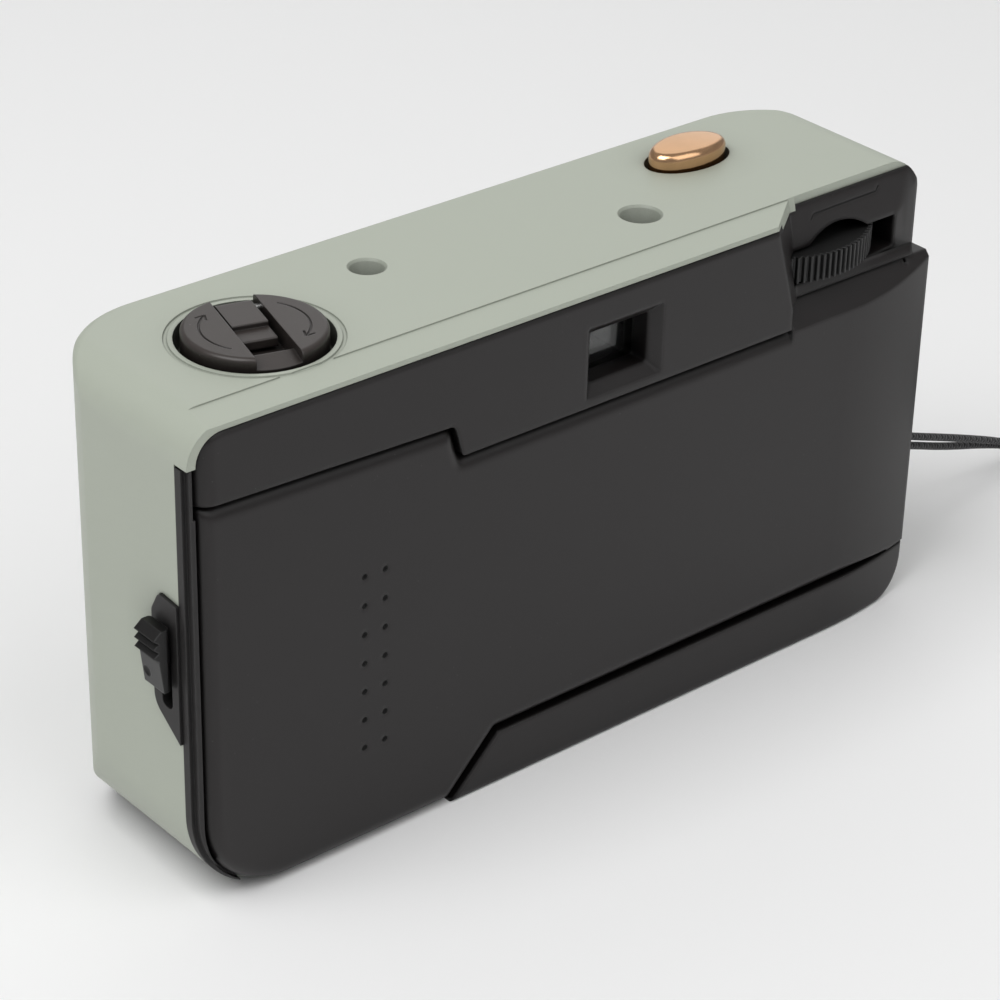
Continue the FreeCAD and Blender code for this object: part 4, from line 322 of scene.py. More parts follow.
def painted_shade_group():
    """Painted shade: how open a point is, 1 in the open and lower deep in gaps and holes, where shade is painted
    into the colour. Spared leaves out what is narrow.
    """
    tree, given, made = new_group("hollows", {"Reach": 0.003, "Power": 1.5, "Spared": 0.0}, ("Open",))
    near = math_node(tree, "MULTIPLY", given.outputs["Reach"], 0.08)
    shut = []
    for reach in (given.outputs["Reach"], near):
        around = tree.nodes.new("ShaderNodeAmbientOcclusion")
        around.samples = 6
        tree.links.new(reach, around.inputs["Distance"])
        power = math_node(tree, "POWER", around.outputs["AO"], given.outputs["Power"])
        shut.append(math_node(tree, "SUBTRACT", 1.0, power))
    narrow = math_node(tree, "MULTIPLY", shut[1], given.outputs["Spared"])
    wide = math_node(tree, "MULTIPLY", shut[0], math_node(tree, "SUBTRACT", 1.0, narrow))
    tree.links.new(math_node(tree, "SUBTRACT", 1.0, wide), made.inputs["Open"])
    return tree


GROUPS = {}


def group(name):
    """A shader group of this file, built the first time that it is asked for."""
    makers = {
        "grain": grain_group, "edge_wear_and_light": edge_wear_and_light_group, "dust": dust_group, "braid": strand_group,
        "edge": edge_group, "painted_shade": painted_shade_group}
    if name not in GROUPS:
        GROUPS[name] = makers[name]()
    return GROUPS[name]


def place_group(tree, name, **values):
    """A group node in a material, with its own values."""
    node = tree.nodes.new("ShaderNodeGroup")
    node.node_tree = group(name)
    for label, value in values.items():
        node.inputs[label].default_value = value
    return node


def ranged(tree, value, low, high):
    """A 0 to 1 value spread between two numbers."""
    node = tree.nodes.new("ShaderNodeMapRange")
    node.inputs["To Min"].default_value = low
    node.inputs["To Max"].default_value = high
    tree.links.new(value, node.inputs["Value"])
    return node.outputs["Result"]


def mixed(tree, factor, first, second):
    """Two colours mixed by a socket; each colour is a socket or three numbers."""
    node = tree.nodes.new("ShaderNodeMix")
    node.data_type = "RGBA"
    tree.links.new(factor, node.inputs["Factor"])
    for socket, value in ((node.inputs["A"], first), (node.inputs["B"], second)):
        if isinstance(value, bpy.types.NodeSocket):
            tree.links.new(value, socket)
        else:
            socket.default_value = (*value, 1.0)
    return node.outputs["Result"]


def shade(base, factor):
    """A colour made lighter or darker."""
    return tuple(min(1.0, channel * factor) for channel in base)


def new_material(name):
    """A material with one Principled shader."""
    material = bpy.data.materials.new(name)
    material.use_nodes = True
    tree = material.node_tree
    return material, tree, tree.nodes["Principled BSDF"]


def bumped(tree, shader, height, distance, edge=0.0):
    """Feeds a height through a Bump node to the shader's normal, over corners rounded by a radius."""
    bump = tree.nodes.new("ShaderNodeBump")
    bump.inputs["Distance"].default_value = distance
    tree.links.new(height, bump.inputs["Height"])
    if edge:
        tree.links.new(place_group(tree, "edge", Radius=edge).outputs["Normal"], bump.inputs["Normal"])
    tree.links.new(bump.outputs["Normal"], shader.inputs["Normal"])


def moulded(name, base, rough=(0.38, 0.46), cloud=0.03, edge_rub_and_light=0.35, contrast=0.06, dust=0.25,
            shine=0.4, edge=None, reach=0.003, spared=0.0):
    """Injection moulded plastic: grain, clouds of gloss, scuffed edges that partly stand in for a painted edge
    highlight, a little dust, and painted shade deep in gaps and holes.
    """
    material, tree, shader = new_material(name)
    grain = place_group(tree, "grain", Pitch=sizes().grain, Cloud=cloud)
    edge_wear_and_light = place_group(tree, "edge_wear_and_light", Amount=edge_rub_and_light)
    specks = place_group(tree, "dust", Amount=dust)
    toned = mixed(tree, grain.outputs["Tone"], shade(base, 1 - contrast), shade(base, 1 + contrast))
    # Edges lighten on dark mouldings: partly handling marks, partly a painted edge highlight
    worn_and_lit = mixed(tree, edge_wear_and_light.outputs["Rubbed"], toned, tuple(0.5 * channel + 0.12 for channel in base))
    dusty = mixed(tree, specks.outputs["Speck"], worn_and_lit, (0.45, 0.44, 0.42))
    # Painted shade: the colour darkens deep in gaps and holes
    painted_shade = place_group(tree, "painted_shade", Reach=reach, Spared=spared)
    with_painted_shade = mixed(tree, painted_shade.outputs["Open"], shade(base, PAINTED_SHADE_TONE), dusty)
    tree.links.new(with_painted_shade, shader.inputs["Base Color"])
    tree.links.new(ranged(tree, grain.outputs["Tone"], *rough), shader.inputs["Roughness"])
    bumped(tree, shader, grain.outputs["Grain"], GRAIN_DEPTH, edge or sizes().edge)
    shader.inputs["IOR"].default_value = 1.5
    shader.inputs["Specular IOR Level"].default_value = shine
    return material


def metal(name, base, rough=(0.2, 0.34), edge=0.0001):
    """Metal with slow clouds of tone and gloss."""
    material, tree, shader = new_material(name)
    grain = place_group(tree, "grain", Pitch=sizes().grain, Cloud=0.006)
    toned = mixed(tree, grain.outputs["Tone"], shade(base, 0.85), shade(base, 1.12))
    tree.links.new(toned, shader.inputs["Base Color"])
    tree.links.new(ranged(tree, grain.outputs["Tone"], *rough), shader.inputs["Roughness"])
    shader.inputs["Metallic"].default_value = 1.0
    bumped(tree, shader, grain.outputs["Grain"], 0.000001, edge)
    return material


def clear(name, tint, rough=0.02, ior=1.49):
    """Clear moulded pane or lens."""
    material, tree, shader = new_material(name)
    grain = place_group(tree, "grain", Pitch=0.004, Cloud=0.01)
    tree.links.new(mixed(tree, grain.outputs["Tone"], shade(tint, 0.97), tint), shader.inputs["Base Color"])
    tree.links.new(ranged(tree, grain.outputs["Tone"], rough, rough * 2), shader.inputs["Roughness"])
    shader.inputs["Transmission Weight"].default_value = 1.0
    shader.inputs["IOR"].default_value = ior
    return material


def braided(name, base):
    """Braided cord, with painted shade between the strands and painted light on their crowns."""
    material, tree, shader = new_material(name)
    braid = place_group(tree, "braid")
    # Painted shade in the valleys between strands, painted light on the crowns
    shadow = ranged(tree, braid.outputs["Strand"], 0.0, 1.0)
    tree.links.new(mixed(tree, shadow, shade(base, 0.5), shade(base, 1.6)), shader.inputs["Base Color"])
    tree.links.new(ranged(tree, braid.outputs["Strand"], 0.75, 0.6), shader.inputs["Roughness"])
    shader.inputs["Sheen Weight"].default_value = 0.2
    bumped(tree, shader, braid.outputs["Strand"], 0.00008)
    return material


MATERIALS = {}


def finish_of(slot):
    """The material of one of the record's slots."""
    return MATERIALS[slot]


class FILMCAMERA_OT_finishes(bpy.types.Operator):
    """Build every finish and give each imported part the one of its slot"""

    bl_idname = "film_camera.finishes"
    bl_label = "Finishes"

    def execute(self, context):
        tones = palette()
        MATERIALS.update({
            "shell_green": moulded(
                "sage green shell", tones.shell, rough=(0.42, 0.5), edge_rub_and_light=0.1, contrast=0.03, cloud=0.05,
                dust=0.1, reach=0.006, spared=0.9),
            "rear_black": moulded(
                "black rear moulding", tones.rear, rough=(0.34, 0.42), dust=0.05, shine=0.38,
                edge=sizes().rear_edge),
            "chassis_black": moulded("black chassis", tones.inner, rough=(0.5, 0.6)),
            "knob_grey": moulded("knob plastic", tones.knob, rough=(0.3, 0.42), contrast=0.12),
            "wheel_black": moulded("wheel plastic", tones.wheel, rough=(0.36, 0.5)),
            "latch_black": moulded("latch plastic", tones.latch, rough=(0.3, 0.4), dust=0.0, shine=0.35),
            "button_copper": metal("copper plating", tones.copper, rough=(0.1, 0.16), edge=0.0005),
            "lens_black": moulded("lens plastic", tones.lens, rough=(0.25, 0.34)),
            "clear_pane": clear("clear pane", (0.93, 0.95, 0.94), rough=0.015),
            "inner_white": moulded("white acetal", tones.white, rough=(0.4, 0.5), edge_rub_and_light=0.0),
            "steel": metal("bright steel", tones.steel),
            "dark_steel": metal("blued steel", tones.blued, rough=(0.3, 0.42)),
            "strap_cord": braided("black cord", tones.cord),
            "strap_sleeve": moulded("strap sleeve", tones.cord, rough=(0.4, 0.5)),
        })
        for name, node in frame["nodes"].items():
            node.data.materials.clear()
            node.data.materials.append(finish_of(SLOT_OF[name]))
        return {"FINISHED"}


# Mesh helpers


def link_piece(name, mesh, node, slot=None, replaces=True):
    """A finished piece at the origin that rides with a node's body and takes its slot's finish."""
    piece = bpy.data.objects.new(name, mesh)
    bpy.context.scene.collection.objects.link(piece)
    slot = slot or SLOT_OF[node]
    if not mesh.materials:
        mesh.materials.append(finish_of(slot))
    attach(piece, BODY_OF[node])
    if replaces:
        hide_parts(node)
    return piece


def scratch_object(name, mesh):
    """A working object that is removed again."""
    work = bpy.data.objects.new(name, mesh)
    bpy.context.scene.collection.objects.link(work)
    return work


def plain_mesh(work, name):
    """The evaluated object as a plain mesh; the object is removed."""
    bpy.context.view_layer.update()
    evaluated = work.evaluated_get(bpy.context.evaluated_depsgraph_get())
    mesh = bpy.data.meshes.new_from_object(evaluated)
    mesh.name = name
    bpy.data.objects.remove(work)
    return mesh


def creased(mesh, angle=30.0):
    """Joins loose triangles and keeps edges sharp beyond an angle."""
    work = bmesh.new()
    work.from_mesh(mesh)
    bmesh.ops.remove_doubles(work, verts=work.verts, dist=0.0000005)
    for face in work.faces:
        face.smooth = True
    for edge in work.edges:
        if len(edge.link_faces) == 2 and edge.calc_face_angle() > math.radians(angle):
            edge.smooth = False
    work.to_mesh(mesh)
    work.free()
    return mesh


def even_normals(work):
    """Weights an object's normals by face size, so that flat faces stay flat."""
    even = work.modifiers.new("even normals", "WEIGHTED_NORMAL")
    even.keep_sharp = True
    even.weight = 90


def cut_with(work, cutter):
    """Takes one object's volume out of another."""
    boolean = work.modifiers.new("cut", "BOOLEAN")
    boolean.operation = "DIFFERENCE"
    boolean.solver = "EXACT"
    boolean.object = cutter


def engraved(node, name, lines, width, normal, more=()):
    """Replaces a node by a copy with grooves along lines on its surface, and with other solids cut away."""
    work = scratch_object("engraved", creased(frame["nodes"][node].data.copy()))
    solids = [path_solid("groove", line, width, sizes().groove_depth, normal) for line in lines]
    cutters = []
    for index, solid in enumerate(solids + list(more)):
        cutter = scratch_object(f"cutter_{index}", solid)
        cut_with(work, cutter)
        cutters.append(cutter)
    mesh = plain_mesh(work, name)
    for cutter in cutters:
        bpy.data.objects.remove(cutter)
    again = scratch_object("engraved", creased(mesh))
    even_normals(again)
    return link_piece(name, plain_mesh(again, name), node)


def bridged(builder, rings):
    """Joins closed rings of as many points each, one to the next."""
    for one, two in zip(rings, rings[1:]):
        for index in range(len(one)):
            ahead = (index + 1) % len(one)
            builder.faces.new((one[index], one[ahead], two[ahead], two[index]))


def closed_mesh(name, builder, rings):
    """A closed mesh from rings, with both ends filled."""
    bridged(builder, rings)
    builder.faces.new(rings[0][::-1])
    builder.faces.new(rings[-1])
    bmesh.ops.recalc_face_normals(builder, faces=builder.faces)
    mesh = bpy.data.meshes.new(name)
    builder.to_mesh(mesh)
    builder.free()
    return mesh


def path_solid(name, points, width, depth, normal):
    """A bar that follows points on a surface, wide along it and deep into it."""
    half = width / 2
    builder = bmesh.new()
    rings = []
    for index, point in enumerate(points):
        before = points[max(index - 1, 0)]
        after = points[min(index + 1, len(points) - 1)]
        side = (after - before).cross(normal).normalized()
        rings.append([
            builder.verts.new(point + side * a + normal * b)
            for a, b in ((-half, depth), (half, depth), (half * 0.5, -depth), (-half * 0.5, -depth))])
    return closed_mesh(name, builder, rings)


def knob_frame():
    """Centre, top level and channel direction of the rewind knob."""
    low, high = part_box("rewind_knob")
    axis = Vector(JOINTS["crank_fold"]["axis"])
    return Vector(((low.x + high.x) / 2, (low.y + high.y) / 2, high.z)), axis


def arrow_outlines():
    """Centre lines of the two curved arrows and their heads, on the knob's half discs."""
    centre, across = knob_frame()
    along = Vector((-across.y, across.x, 0))
    lines = []
    for side in (1, -1):
        arc = []
        for step in range(ARROW_STEPS + 1):
            angle = ARROW_HALF_ANGLE * (2 * step / ARROW_STEPS - 1)
            arc.append(centre + (across * math.cos(angle) + along * math.sin(angle)) * (side * ARROW_RADIUS))
        lines.append(arc)
        tip = arc[0]
        back = (arc[1] - tip).normalized() * ARROW_HEAD_LONG
        out = (tip - centre).normalized() * ARROW_HEAD_WIDE
        lines += [[tip + back + out, tip], [tip + back - out, tip]]
    return lines


class FILMCAMERA_OT_rewind_knob(bpy.types.Operator):
    """Engrave the rewind knob's two curved arrows"""

    bl_idname = "film_camera.rewind_knob"
    bl_label = "Rewind knob"

    def execute(self, context):
        engraved("rewind_knob", "knob_disc", arrow_outlines(), sizes().groove_width, Vector((0, 0, 1)))
        return {"FINISHED"}


def seen_from_behind(node, x, z):
    """The point of a node's surface that a line along -Y meets first, and the surface's normal there."""
    found, place, normal, _ = frame["nodes"][node].ray_cast(Vector((x, 0.05, z)), Vector((0, -1, 0)))
    if not found:
        raise RuntimeError(f"nothing of {node} lies at {x}, {z}")
    return place, normal


def lip_end():
    """The block that trims the recess's lip beside the shell's rounded end."""
    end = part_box("front_shell")[0].x + LIP_FROM_END
    corner = Vector((end - LIP_BLOCK.x, LIP_REAR, LIP_TOP - LIP_BLOCK.z))
    builder = bmesh.new()
    place = Matrix.Translation(corner + LIP_BLOCK / 2)
    bmesh.ops.create_cube(builder, size=1.0, matrix=place @ Matrix.Diagonal(LIP_BLOCK).to_4x4())
    mesh = bpy.data.meshes.new("lip_end")
    builder.to_mesh(mesh)
    builder.free()
    return mesh


class FILMCAMERA_OT_rear_cover(bpy.types.Operator):
    """Engrave the index line above the thumbwheel"""

    bl_idname = "film_camera.rear_cover"
    bl_label = "Rear cover"

    def execute(self, context):
        line = [seen_from_behind("rear_top_cover", x, z)[0] for x, z in INDEX_LINE]
        facing = seen_from_behind("rear_top_cover", *INDEX_MIDDLE)[1]
        engraved("rear_top_cover", "rear_cover", [line], sizes().groove_width, facing, [lip_end()])
        return {"FINISHED"}


# Geometry Nodes


def new_tree(name, inputs):
    """A geometry tree with named inputs; returns it with its input and output nodes."""
    tree = bpy.data.node_groups.new(name, "GeometryNodeTree")
    kinds = {float: "NodeSocketFloat", int: "NodeSocketInt"}
    for label, value in inputs.items():
        if isinstance(value, bpy.types.Material):
            socket = tree.interface.new_socket(name=label, in_out="INPUT", socket_type="NodeSocketMaterial")
        else:
            socket = tree.interface.new_socket(name=label, in_out="INPUT", socket_type=kinds[type(value)])
            socket.default_value = value
    tree.interface.new_socket(name="Geometry", in_out="OUTPUT", socket_type="NodeSocketGeometry")
    return tree, tree.nodes.new("NodeGroupInput"), tree.nodes.new("NodeGroupOutput")


def close_tree(tree, given, made, geometry):
    """Ends a tree in Realize Instances and Set Material."""
    real = tree.nodes.new("GeometryNodeRealizeInstances")
    coat = tree.nodes.new("GeometryNodeSetMaterial")
    tree.links.new(geometry, real.inputs["Geometry"])
    tree.links.new(real.outputs["Geometry"], coat.inputs["Geometry"])
    tree.links.new(given.outputs["Finish"], coat.inputs["Material"])
    tree.links.new(coat.outputs["Geometry"], made.inputs["Geometry"])


def grown(tree, name, values):
    """Runs a geometry tree with values set by the sockets' identifiers, and returns the plain mesh."""
    work = scratch_object(name, bpy.data.meshes.new(name))
    modifier = work.modifiers.new("tree", "NODES")
    modifier.node_group = tree
    for item in tree.interface.items_tree:
        if item.in_out == "INPUT" and item.name in values:
            modifier[item.identifier] = values[item.name]
    return plain_mesh(work, name)


def moved_mesh(mesh, place, turn=None):
    """A mesh turned and moved into place."""
    mesh.transform(Matrix.Translation(place) @ (turn or Matrix.Identity(4)))
    return mesh


def coil_tree():
    """A wire coil along Z with closed ends."""
    tree, given, made = new_tree("wire coil", {
        "Radius": 0.002, "Wire": 0.0002, "Height": 0.002, "Turns": 3.0, "Finish": finish_of("steel")})
    spiral = tree.nodes.new("GeometryNodeCurveSpiral")
    spiral.inputs["Resolution"].default_value = 28
    tree.links.new(given.outputs["Turns"], spiral.inputs["Rotations"])
    tree.links.new(given.outputs["Radius"], spiral.inputs["Start Radius"])
    tree.links.new(given.outputs["Radius"], spiral.inputs["End Radius"])
    tree.links.new(given.outputs["Height"], spiral.inputs["Height"])
    ring = tree.nodes.new("GeometryNodeCurvePrimitiveCircle")
    ring.inputs["Resolution"].default_value = 10
    tree.links.new(given.outputs["Wire"], ring.inputs["Radius"])
    sweep = tree.nodes.new("GeometryNodeCurveToMesh")
    sweep.inputs["Fill Caps"].default_value = True
    tree.links.new(spiral.outputs["Curve"], sweep.inputs["Curve"])
    tree.links.new(ring.outputs["Curve"], sweep.inputs["Profile Curve"])
    close_tree(tree, given, made, sweep.outputs["Mesh"])
    return tree


class FILMCAMERA_OT_springs(bpy.types.Operator):
    """Wind the button's, the release's and the shutter's springs"""

    bl_idname = "film_camera.springs"
    bl_label = "Springs"

    def execute(self, context):
        tree = coil_tree()
        seat = SPRING_WIRE + SPRING_SPARE
        for node, name, turns, joint in SPRINGS:
            low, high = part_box(node)
            middle = (low + high) / 2
            upright = joint is not None
            tall = (high.z - low.z if upright else high.y - low.y) - 2 * seat
            radius = (high.x - low.x) / 2 - SPRING_WIRE
            mesh = grown(tree, name, {
                "Radius": radius, "Wire": SPRING_WIRE, "Height": tall, "Turns": turns,
                "Finish": finish_of("steel")})
            if upright:
                moved_mesh(mesh, Vector((middle.x, middle.y, low.z + seat)))
            else:
                place = Vector((middle.x, low.y + seat, middle.z))
                moved_mesh(mesh, place, Matrix.Rotation(-math.pi / 2, 4, "X"))
            piece = link_piece(name, creased(mesh), node)
            if upright:
                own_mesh(piece)
        return {"FINISHED"}


def mark_tree():
    """Thin bars standing round a dial, on the Z axis."""
    tree, given, made = new_tree("dial marks", {
        "Marks": 38, "Radius": 0.005, "Long": 0.0007, "Wide": 0.00016, "Tall": 0.00006,
        "Finish": finish_of("lens_black")})
    ring = tree.nodes.new("GeometryNodeMeshCircle")
    tree.links.new(given.outputs["Marks"], ring.inputs["Vertices"])
    tree.links.new(given.outputs["Radius"], ring.inputs["Radius"])
    bar = tree.nodes.new("GeometryNodeMeshCube")
    size = tree.nodes.new("ShaderNodeCombineXYZ")
    for axis, label in (("X", "Long"), ("Y", "Wide"), ("Z", "Tall")):
        tree.links.new(given.outputs[label], size.inputs[axis])
    tree.links.new(size.outputs["Vector"], bar.inputs["Size"])
    turn = tree.nodes.new("ShaderNodeCombineXYZ")
    index = tree.nodes.new("GeometryNodeInputIndex")
    step = math_node(tree, "DIVIDE", 2 * math.pi, given.outputs["Marks"])
    tree.links.new(math_node(tree, "MULTIPLY", index.outputs["Index"], step), turn.inputs["Z"])
    placed = tree.nodes.new("GeometryNodeInstanceOnPoints")
    tree.links.new(ring.outputs["Mesh"], placed.inputs["Points"])
    tree.links.new(bar.outputs["Mesh"], placed.inputs["Instance"])
    tree.links.new(turn.outputs["Vector"], placed.inputs["Rotation"])
    close_tree(tree, given, made, placed.outputs["Instances"])
    return tree


def outline_of(node):
    """The outline of a node seen from above, as points in order round it."""
    points = sorted({(round(v.co.x, 6), round(v.co.y, 6)) for v in frame["nodes"][node].data.vertices})
    rings = []
    for row in (points, points[::-1]):
        ring = []
        for point in row:
            while len(ring) > 1 and (
                    (ring[-1][0] - ring[-2][0]) * (point[1] - ring[-2][1])
                    - (ring[-1][1] - ring[-2][1]) * (point[0] - ring[-2][0])) <= 0:
                ring.pop()
            ring.append(point)
        rings += ring[:-1]
    return [Vector((x, y, 0)) for x, y in rings]


class FILMCAMERA_OT_button(bpy.types.Operator):
    """Round the rim of the polished shutter button"""

    bl_idname = "film_camera.button"
    bl_label = "Shutter button"

    def execute(self, context):
        low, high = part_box("shutter_button")
        middle, wide = (low + high) / 2, high - low
        corners = [v.co for v in frame["nodes"]["shutter_button"].data.vertices]
        outline = [point.xy - middle.xy for point in outline_of("shutter_button")]
        stem = max((p.xy - middle.xy).length for p in corners if p.z < low.z + 0.0001)
        foot = min(p.z for p in corners if (p.xy - middle.xy).length > 1.2 * stem)
        rim = max(p.z for p in corners if abs(p.x - middle.x) > 0.49 * wide.x)
        crown = (high.z - rim) / (wide.x / 2) ** 2
        soft = sizes().button_round

        def inset(by, drop=0.0, shrink=1.0):
            """The outline drawn in by a length and shrunk, on the crowned top or below it."""
            across, along = 1 - 2 * by / wide.x, 1 - 2 * by / wide.y
            ring = [Vector((p.x * across, p.y * along)) * shrink for p in outline]
            return [(*(middle.xy + p), high.z - crown * p.length_squared - drop) for p in ring]

        levels = [[(*(middle.xy + p.normalized() * stem), z) for p in outline] for z in (low.z, foot)]
        levels += [[(*(middle.xy + p), foot) for p in outline], inset(0, soft)]
        levels += [inset(soft * (1 - math.cos(turn)), soft * (1 - math.sin(turn)))
                   for turn in (math.pi / 2 * step / 10 for step in range(1, 11))]
        levels += [inset(soft, shrink=share) for share in (0.85, 0.65, 0.45, 0.25, 0.08)]
        builder = bmesh.new()
        rings = [[builder.verts.new(place) for place in level] for level in levels]
        work = scratch_object("button_cap", creased(closed_mesh("button_cap", builder, rings)))
        even_normals(work)
        link_piece("button_cap", plain_mesh(work, "button_cap"), "shutter_button")
        return {"FINISHED"}


class FILMCAMERA_OT_dial(bpy.types.Operator):
    """Mark the counter dial"""

    bl_idname = "film_camera.dial"
    bl_label = "Counter dial"

    def execute(self, context):
        low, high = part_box("counter_dial")
        mesh = grown(mark_tree(), "dial_marks", {
            "Marks": sizes().marks, "Radius": (high.x - low.x) / 2 - MARK_FROM_RIM, "Long": MARK_LONG,
            "Wide": MARK_WIDE, "Tall": MARK_TALL, "Finish": finish_of("lens_black")})
        moved_mesh(mesh, Vector(((low.x + high.x) / 2, (low.y + high.y) / 2, high.z - MARK_TALL / 4)))
        link_piece("dial_marks", mesh, "counter_dial", slot="lens_black", replaces=False)
        return {"FINISHED"}


class FILMCAMERA_OT_camera(bpy.types.Operator):
    """Place the scene's camera at the photograph's angle"""

    bl_idname = "film_camera.viewpoint"
    bl_label = "Viewpoint"

    def execute(self, context):
        data = bpy.data.cameras.new("viewpoint")
        data.sensor_width = VIEW_SENSOR
        data.lens = VIEW_LENS
        data.clip_start = 0.01
        data.clip_end = 20.0
        camera = bpy.data.objects.new("viewpoint", data)
        camera.location = VIEW_PLACE
        camera.rotation_euler = [math.radians(angle) for angle in VIEW_TURN]
        context.scene.collection.objects.link(camera)
        context.scene.camera = camera
        return {"FINISHED"}


def studio_sheet():
    """Floor that curves up into a backdrop far behind, all in one smooth sheet."""
    builder = bmesh.new()
    rings = []
    for radius, height in FLOOR_RINGS:
        turns = [2 * math.pi * step / FLOOR_STEPS for step in range(FLOOR_STEPS)]
        rings.append([
            builder.verts.new((radius * math.cos(turn), radius * math.sin(turn), height)) for turn in turns])
    bridged(builder, rings)
    bmesh.ops.remove_doubles(builder, verts=builder.verts, dist=0.0001)
    for face in builder.faces:
        face.smooth = True
    mesh = bpy.data.meshes.new("studio_sheet")
    builder.to_mesh(mesh)
    builder.free()
    return mesh


def area_lamp(name, power, size, place, aim):
    """A square lamp aimed at a point."""
    data = bpy.data.lights.new(name, "AREA")
    data.energy = power
    data.size = size
    lamp = bpy.data.objects.new(name, data)
    lamp.location = place
    lamp.rotation_mode = "QUATERNION"
    lamp.rotation_quaternion = (Vector(place) - Vector(aim)).to_track_quat("Z", "Y")
    bpy.context.scene.collection.objects.link(lamp)
    return lamp


class FILMCAMERA_OT_stage(bpy.types.Operator):
    """Lay the floor, light the scene and set the view transform"""

    bl_idname = "film_camera.stage"
    bl_label = "Stage"

    def execute(self, context):
        look = context.scene.film_camera_stage
        floor = bpy.data.objects.new("studio_sheet", studio_sheet())
        context.scene.collection.objects.link(floor)
        material, tree, shader = new_material("studio sheet")
        shader.inputs["Base Color"].default_value = (*look.floor, 1)
        shader.inputs["Roughness"].default_value = 0.9
        shader.inputs["Specular IOR Level"].default_value = 0.1
        floor.data.materials.append(material)

        world = bpy.data.worlds.new("even light")
        context.scene.world = world
        world.use_nodes = True
        world.node_tree.nodes["Background"].inputs["Color"].default_value = (1, 1, 1, 1)
        world.node_tree.nodes["Background"].inputs["Strength"].default_value = look.sky
        for name, placing in LAMPS.items():
            area_lamp(name, getattr(look, name), *placing)
        context.scene.view_settings.view_transform = "Standard"
        return {"FINISHED"}


class FILMCAMERA_OT_strap(bpy.types.Operator):
    """Run the strap's thin cord round its bar and coil the wrist cord beside it"""

    bl_idname = "film_camera.strap"
    bl_label = "Strap"

    def execute(self, context):
        route = STRAP_ROUTE
        cord = cord_piece("strap_loop", [Vector(p) * 0.001 for p in route], sizes().strap, "strap_cord")
        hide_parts("strap_cord")
        wrist = wrist_route()
        cord = cord_piece("wrist_cord", wrist, sizes().wrist, "wrist_coil")
        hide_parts("wrist_coil", "wrist_leads")
        return {"FINISHED"}


def wrist_route():
    """The wrist cord's way: into the lower layer, across the coil's middle, and out by the upper layer."""
    low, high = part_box("wrist_coil")
    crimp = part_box("strap_crimp")[0].x
    reach = sizes().wrist / 2
    middle = Vector(((low.x + high.x) / 2, (low.y + high.y) / 2, 0))
    outer = (high.x - low.x) / 2 - reach
    layers = (reach, 3 * reach)
    pitch = 2 * reach / COIL_STEPS
    turn = 2 * math.pi / COIL_STEPS

    def straight(layer):
        """The straight end in a layer, from the crimp to the coil."""
        return [Vector((crimp - run, 0, layers[layer])) for run in (0, *COIL_ENDS)]

    def ray(angle):
        return Vector((math.cos(angle), math.sin(angle), 0))

    def round_turns(start, radius, steps, way):
        """A layer's turns: inwards and clockwise for way -1, outwards and the other way round for 1."""
        return [middle + ray(start + way * turn * step) * (radius + way * pitch * step)
                + Vector((0, 0, layers[0] if way < 0 else layers[1])) for step in range(steps + 1)]

    steps_in = round(COIL_TURNS_IN * COIL_STEPS)
    start, angle = -math.pi / 2, -math.pi / 2 - turn * steps_in
    route = straight(0) + round_turns(start, outer, steps_in, -1)
    across, beside = ray(angle), ray(angle - math.pi / 2)
    inner, last = outer - pitch * steps_in, outer - 4 * reach
    for step in range(1, 2 * COIL_CROSSING):
        first_half = step < COIL_CROSSING
        bend = math.pi * (step % COIL_CROSSING) / COIL_CROSSING
        size = inner / 2 if first_half else last / 2
        along = size * (1 + math.cos(bend)) if first_half else -size * (1 - math.cos(bend))
        aside = size * math.sin(bend) * (1 if first_half else -1)
        rise = layers[0] + (layers[1] - layers[0]) * step / (2 * COIL_CROSSING)
        route.append(middle + across * along + beside * aside + Vector((0, 0, rise)))
    route += round_turns(angle + math.pi, last, COIL_TURNS_OUT * COIL_STEPS, 1)
    return route + straight(1)[::-1]


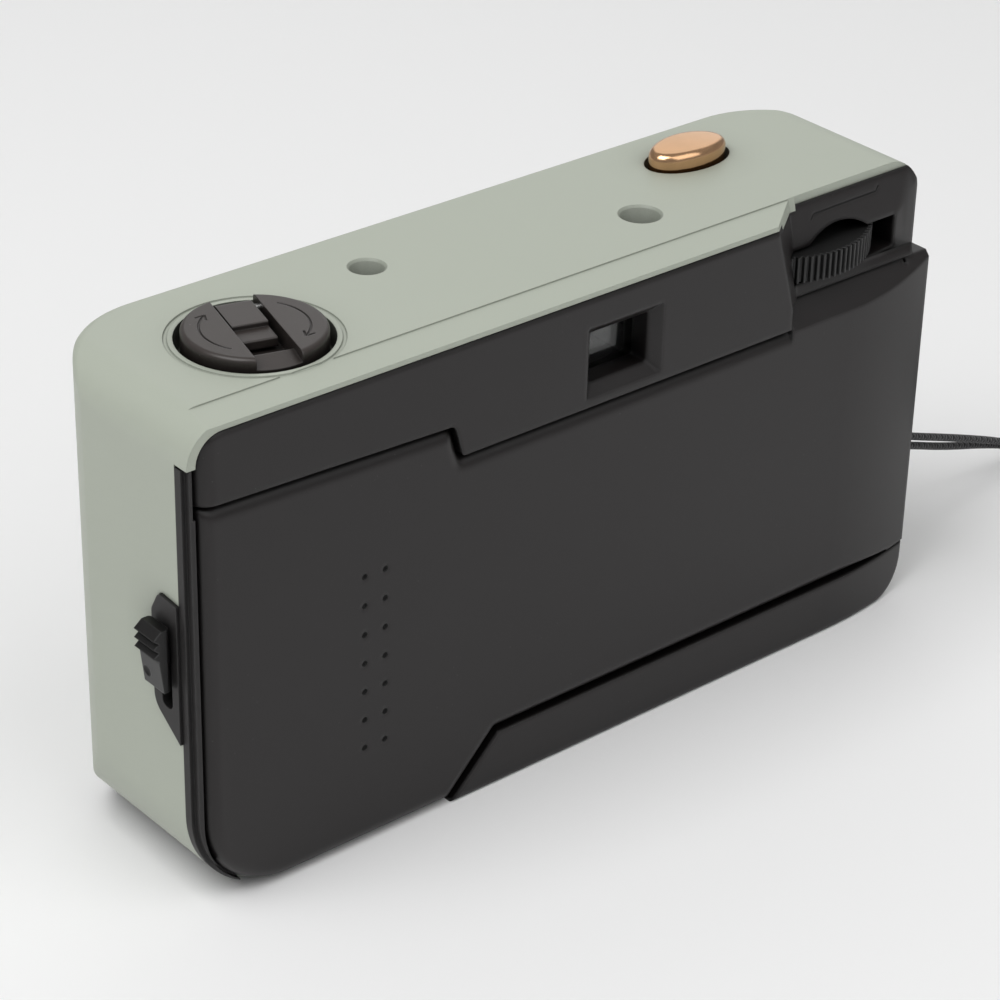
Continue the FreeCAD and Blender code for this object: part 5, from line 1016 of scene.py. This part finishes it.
def cord_piece(name, points, diameter, node):
    """A round cord on one smooth spline through its route."""
    data = bpy.data.curves.new(name, "CURVE")
    data.dimensions = "3D"
    spline = data.splines.new("NURBS")
    spline.points.add(len(points) - 1)
    for point, place in zip(spline.points, points):
        point.co = (*place, 1.0)
    spline.order_u = 3
    spline.use_endpoint_u = True
    spline.resolution_u = 8
    data.bevel_depth = diameter / 2
    data.bevel_resolution = 4
    data.use_fill_caps = True
    data.materials.append(finish_of(SLOT_OF[node]))
    piece = bpy.data.objects.new(name, data)
    bpy.context.scene.collection.objects.link(piece)
    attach(piece, BODY_OF[node])
    return piece


class FILMCAMERA_PT_panel(bpy.types.Panel):
    """Sizes, colours and steps of the film camera"""

    bl_idname = "FILMCAMERA_PT_panel"
    bl_label = "Film camera"
    bl_space_type = "VIEW_3D"
    bl_region_type = "UI"
    bl_category = "Film camera"

    def draw(self, context):
        for group_name in ("film_camera_colours", "film_camera_sizes", "film_camera_stage"):
            settings = getattr(context.scene, group_name)
            for label in settings.__annotations__:
                self.layout.prop(settings, label)
        for step in STEPS:
            self.layout.operator(step.bl_idname)


STEPS = (
    FILMCAMERA_OT_camera, FILMCAMERA_OT_finishes, FILMCAMERA_OT_strap, FILMCAMERA_OT_rear_cover,
    FILMCAMERA_OT_rewind_knob, FILMCAMERA_OT_button, FILMCAMERA_OT_springs, FILMCAMERA_OT_dial,
    FILMCAMERA_OT_stage)
SETTINGS = {
    "film_camera_colours": CameraColours, "film_camera_sizes": CameraSizes, "film_camera_stage": StageLook}


def register():
    """Registers the settings, the steps and the panel."""
    for name, settings in SETTINGS.items():
        bpy.utils.register_class(settings)
        setattr(bpy.types.Scene, name, PointerProperty(type=settings))
    for step in STEPS:
        bpy.utils.register_class(step)
    bpy.utils.register_class(FILMCAMERA_PT_panel)


def unregister():
    """Takes everything out again, last first."""
    bpy.utils.unregister_class(FILMCAMERA_PT_panel)
    for step in reversed(STEPS):
        bpy.utils.unregister_class(step)
    for name, settings in reversed(SETTINGS.items()):
        delattr(bpy.types.Scene, name)
        bpy.utils.unregister_class(settings)


def main():
    """Runs every step in order."""
    register()
    for step in STEPS:
        area, name = step.bl_idname.split(".")
        getattr(getattr(bpy.ops, area), name)()


if __name__ == "__main__":
    main()
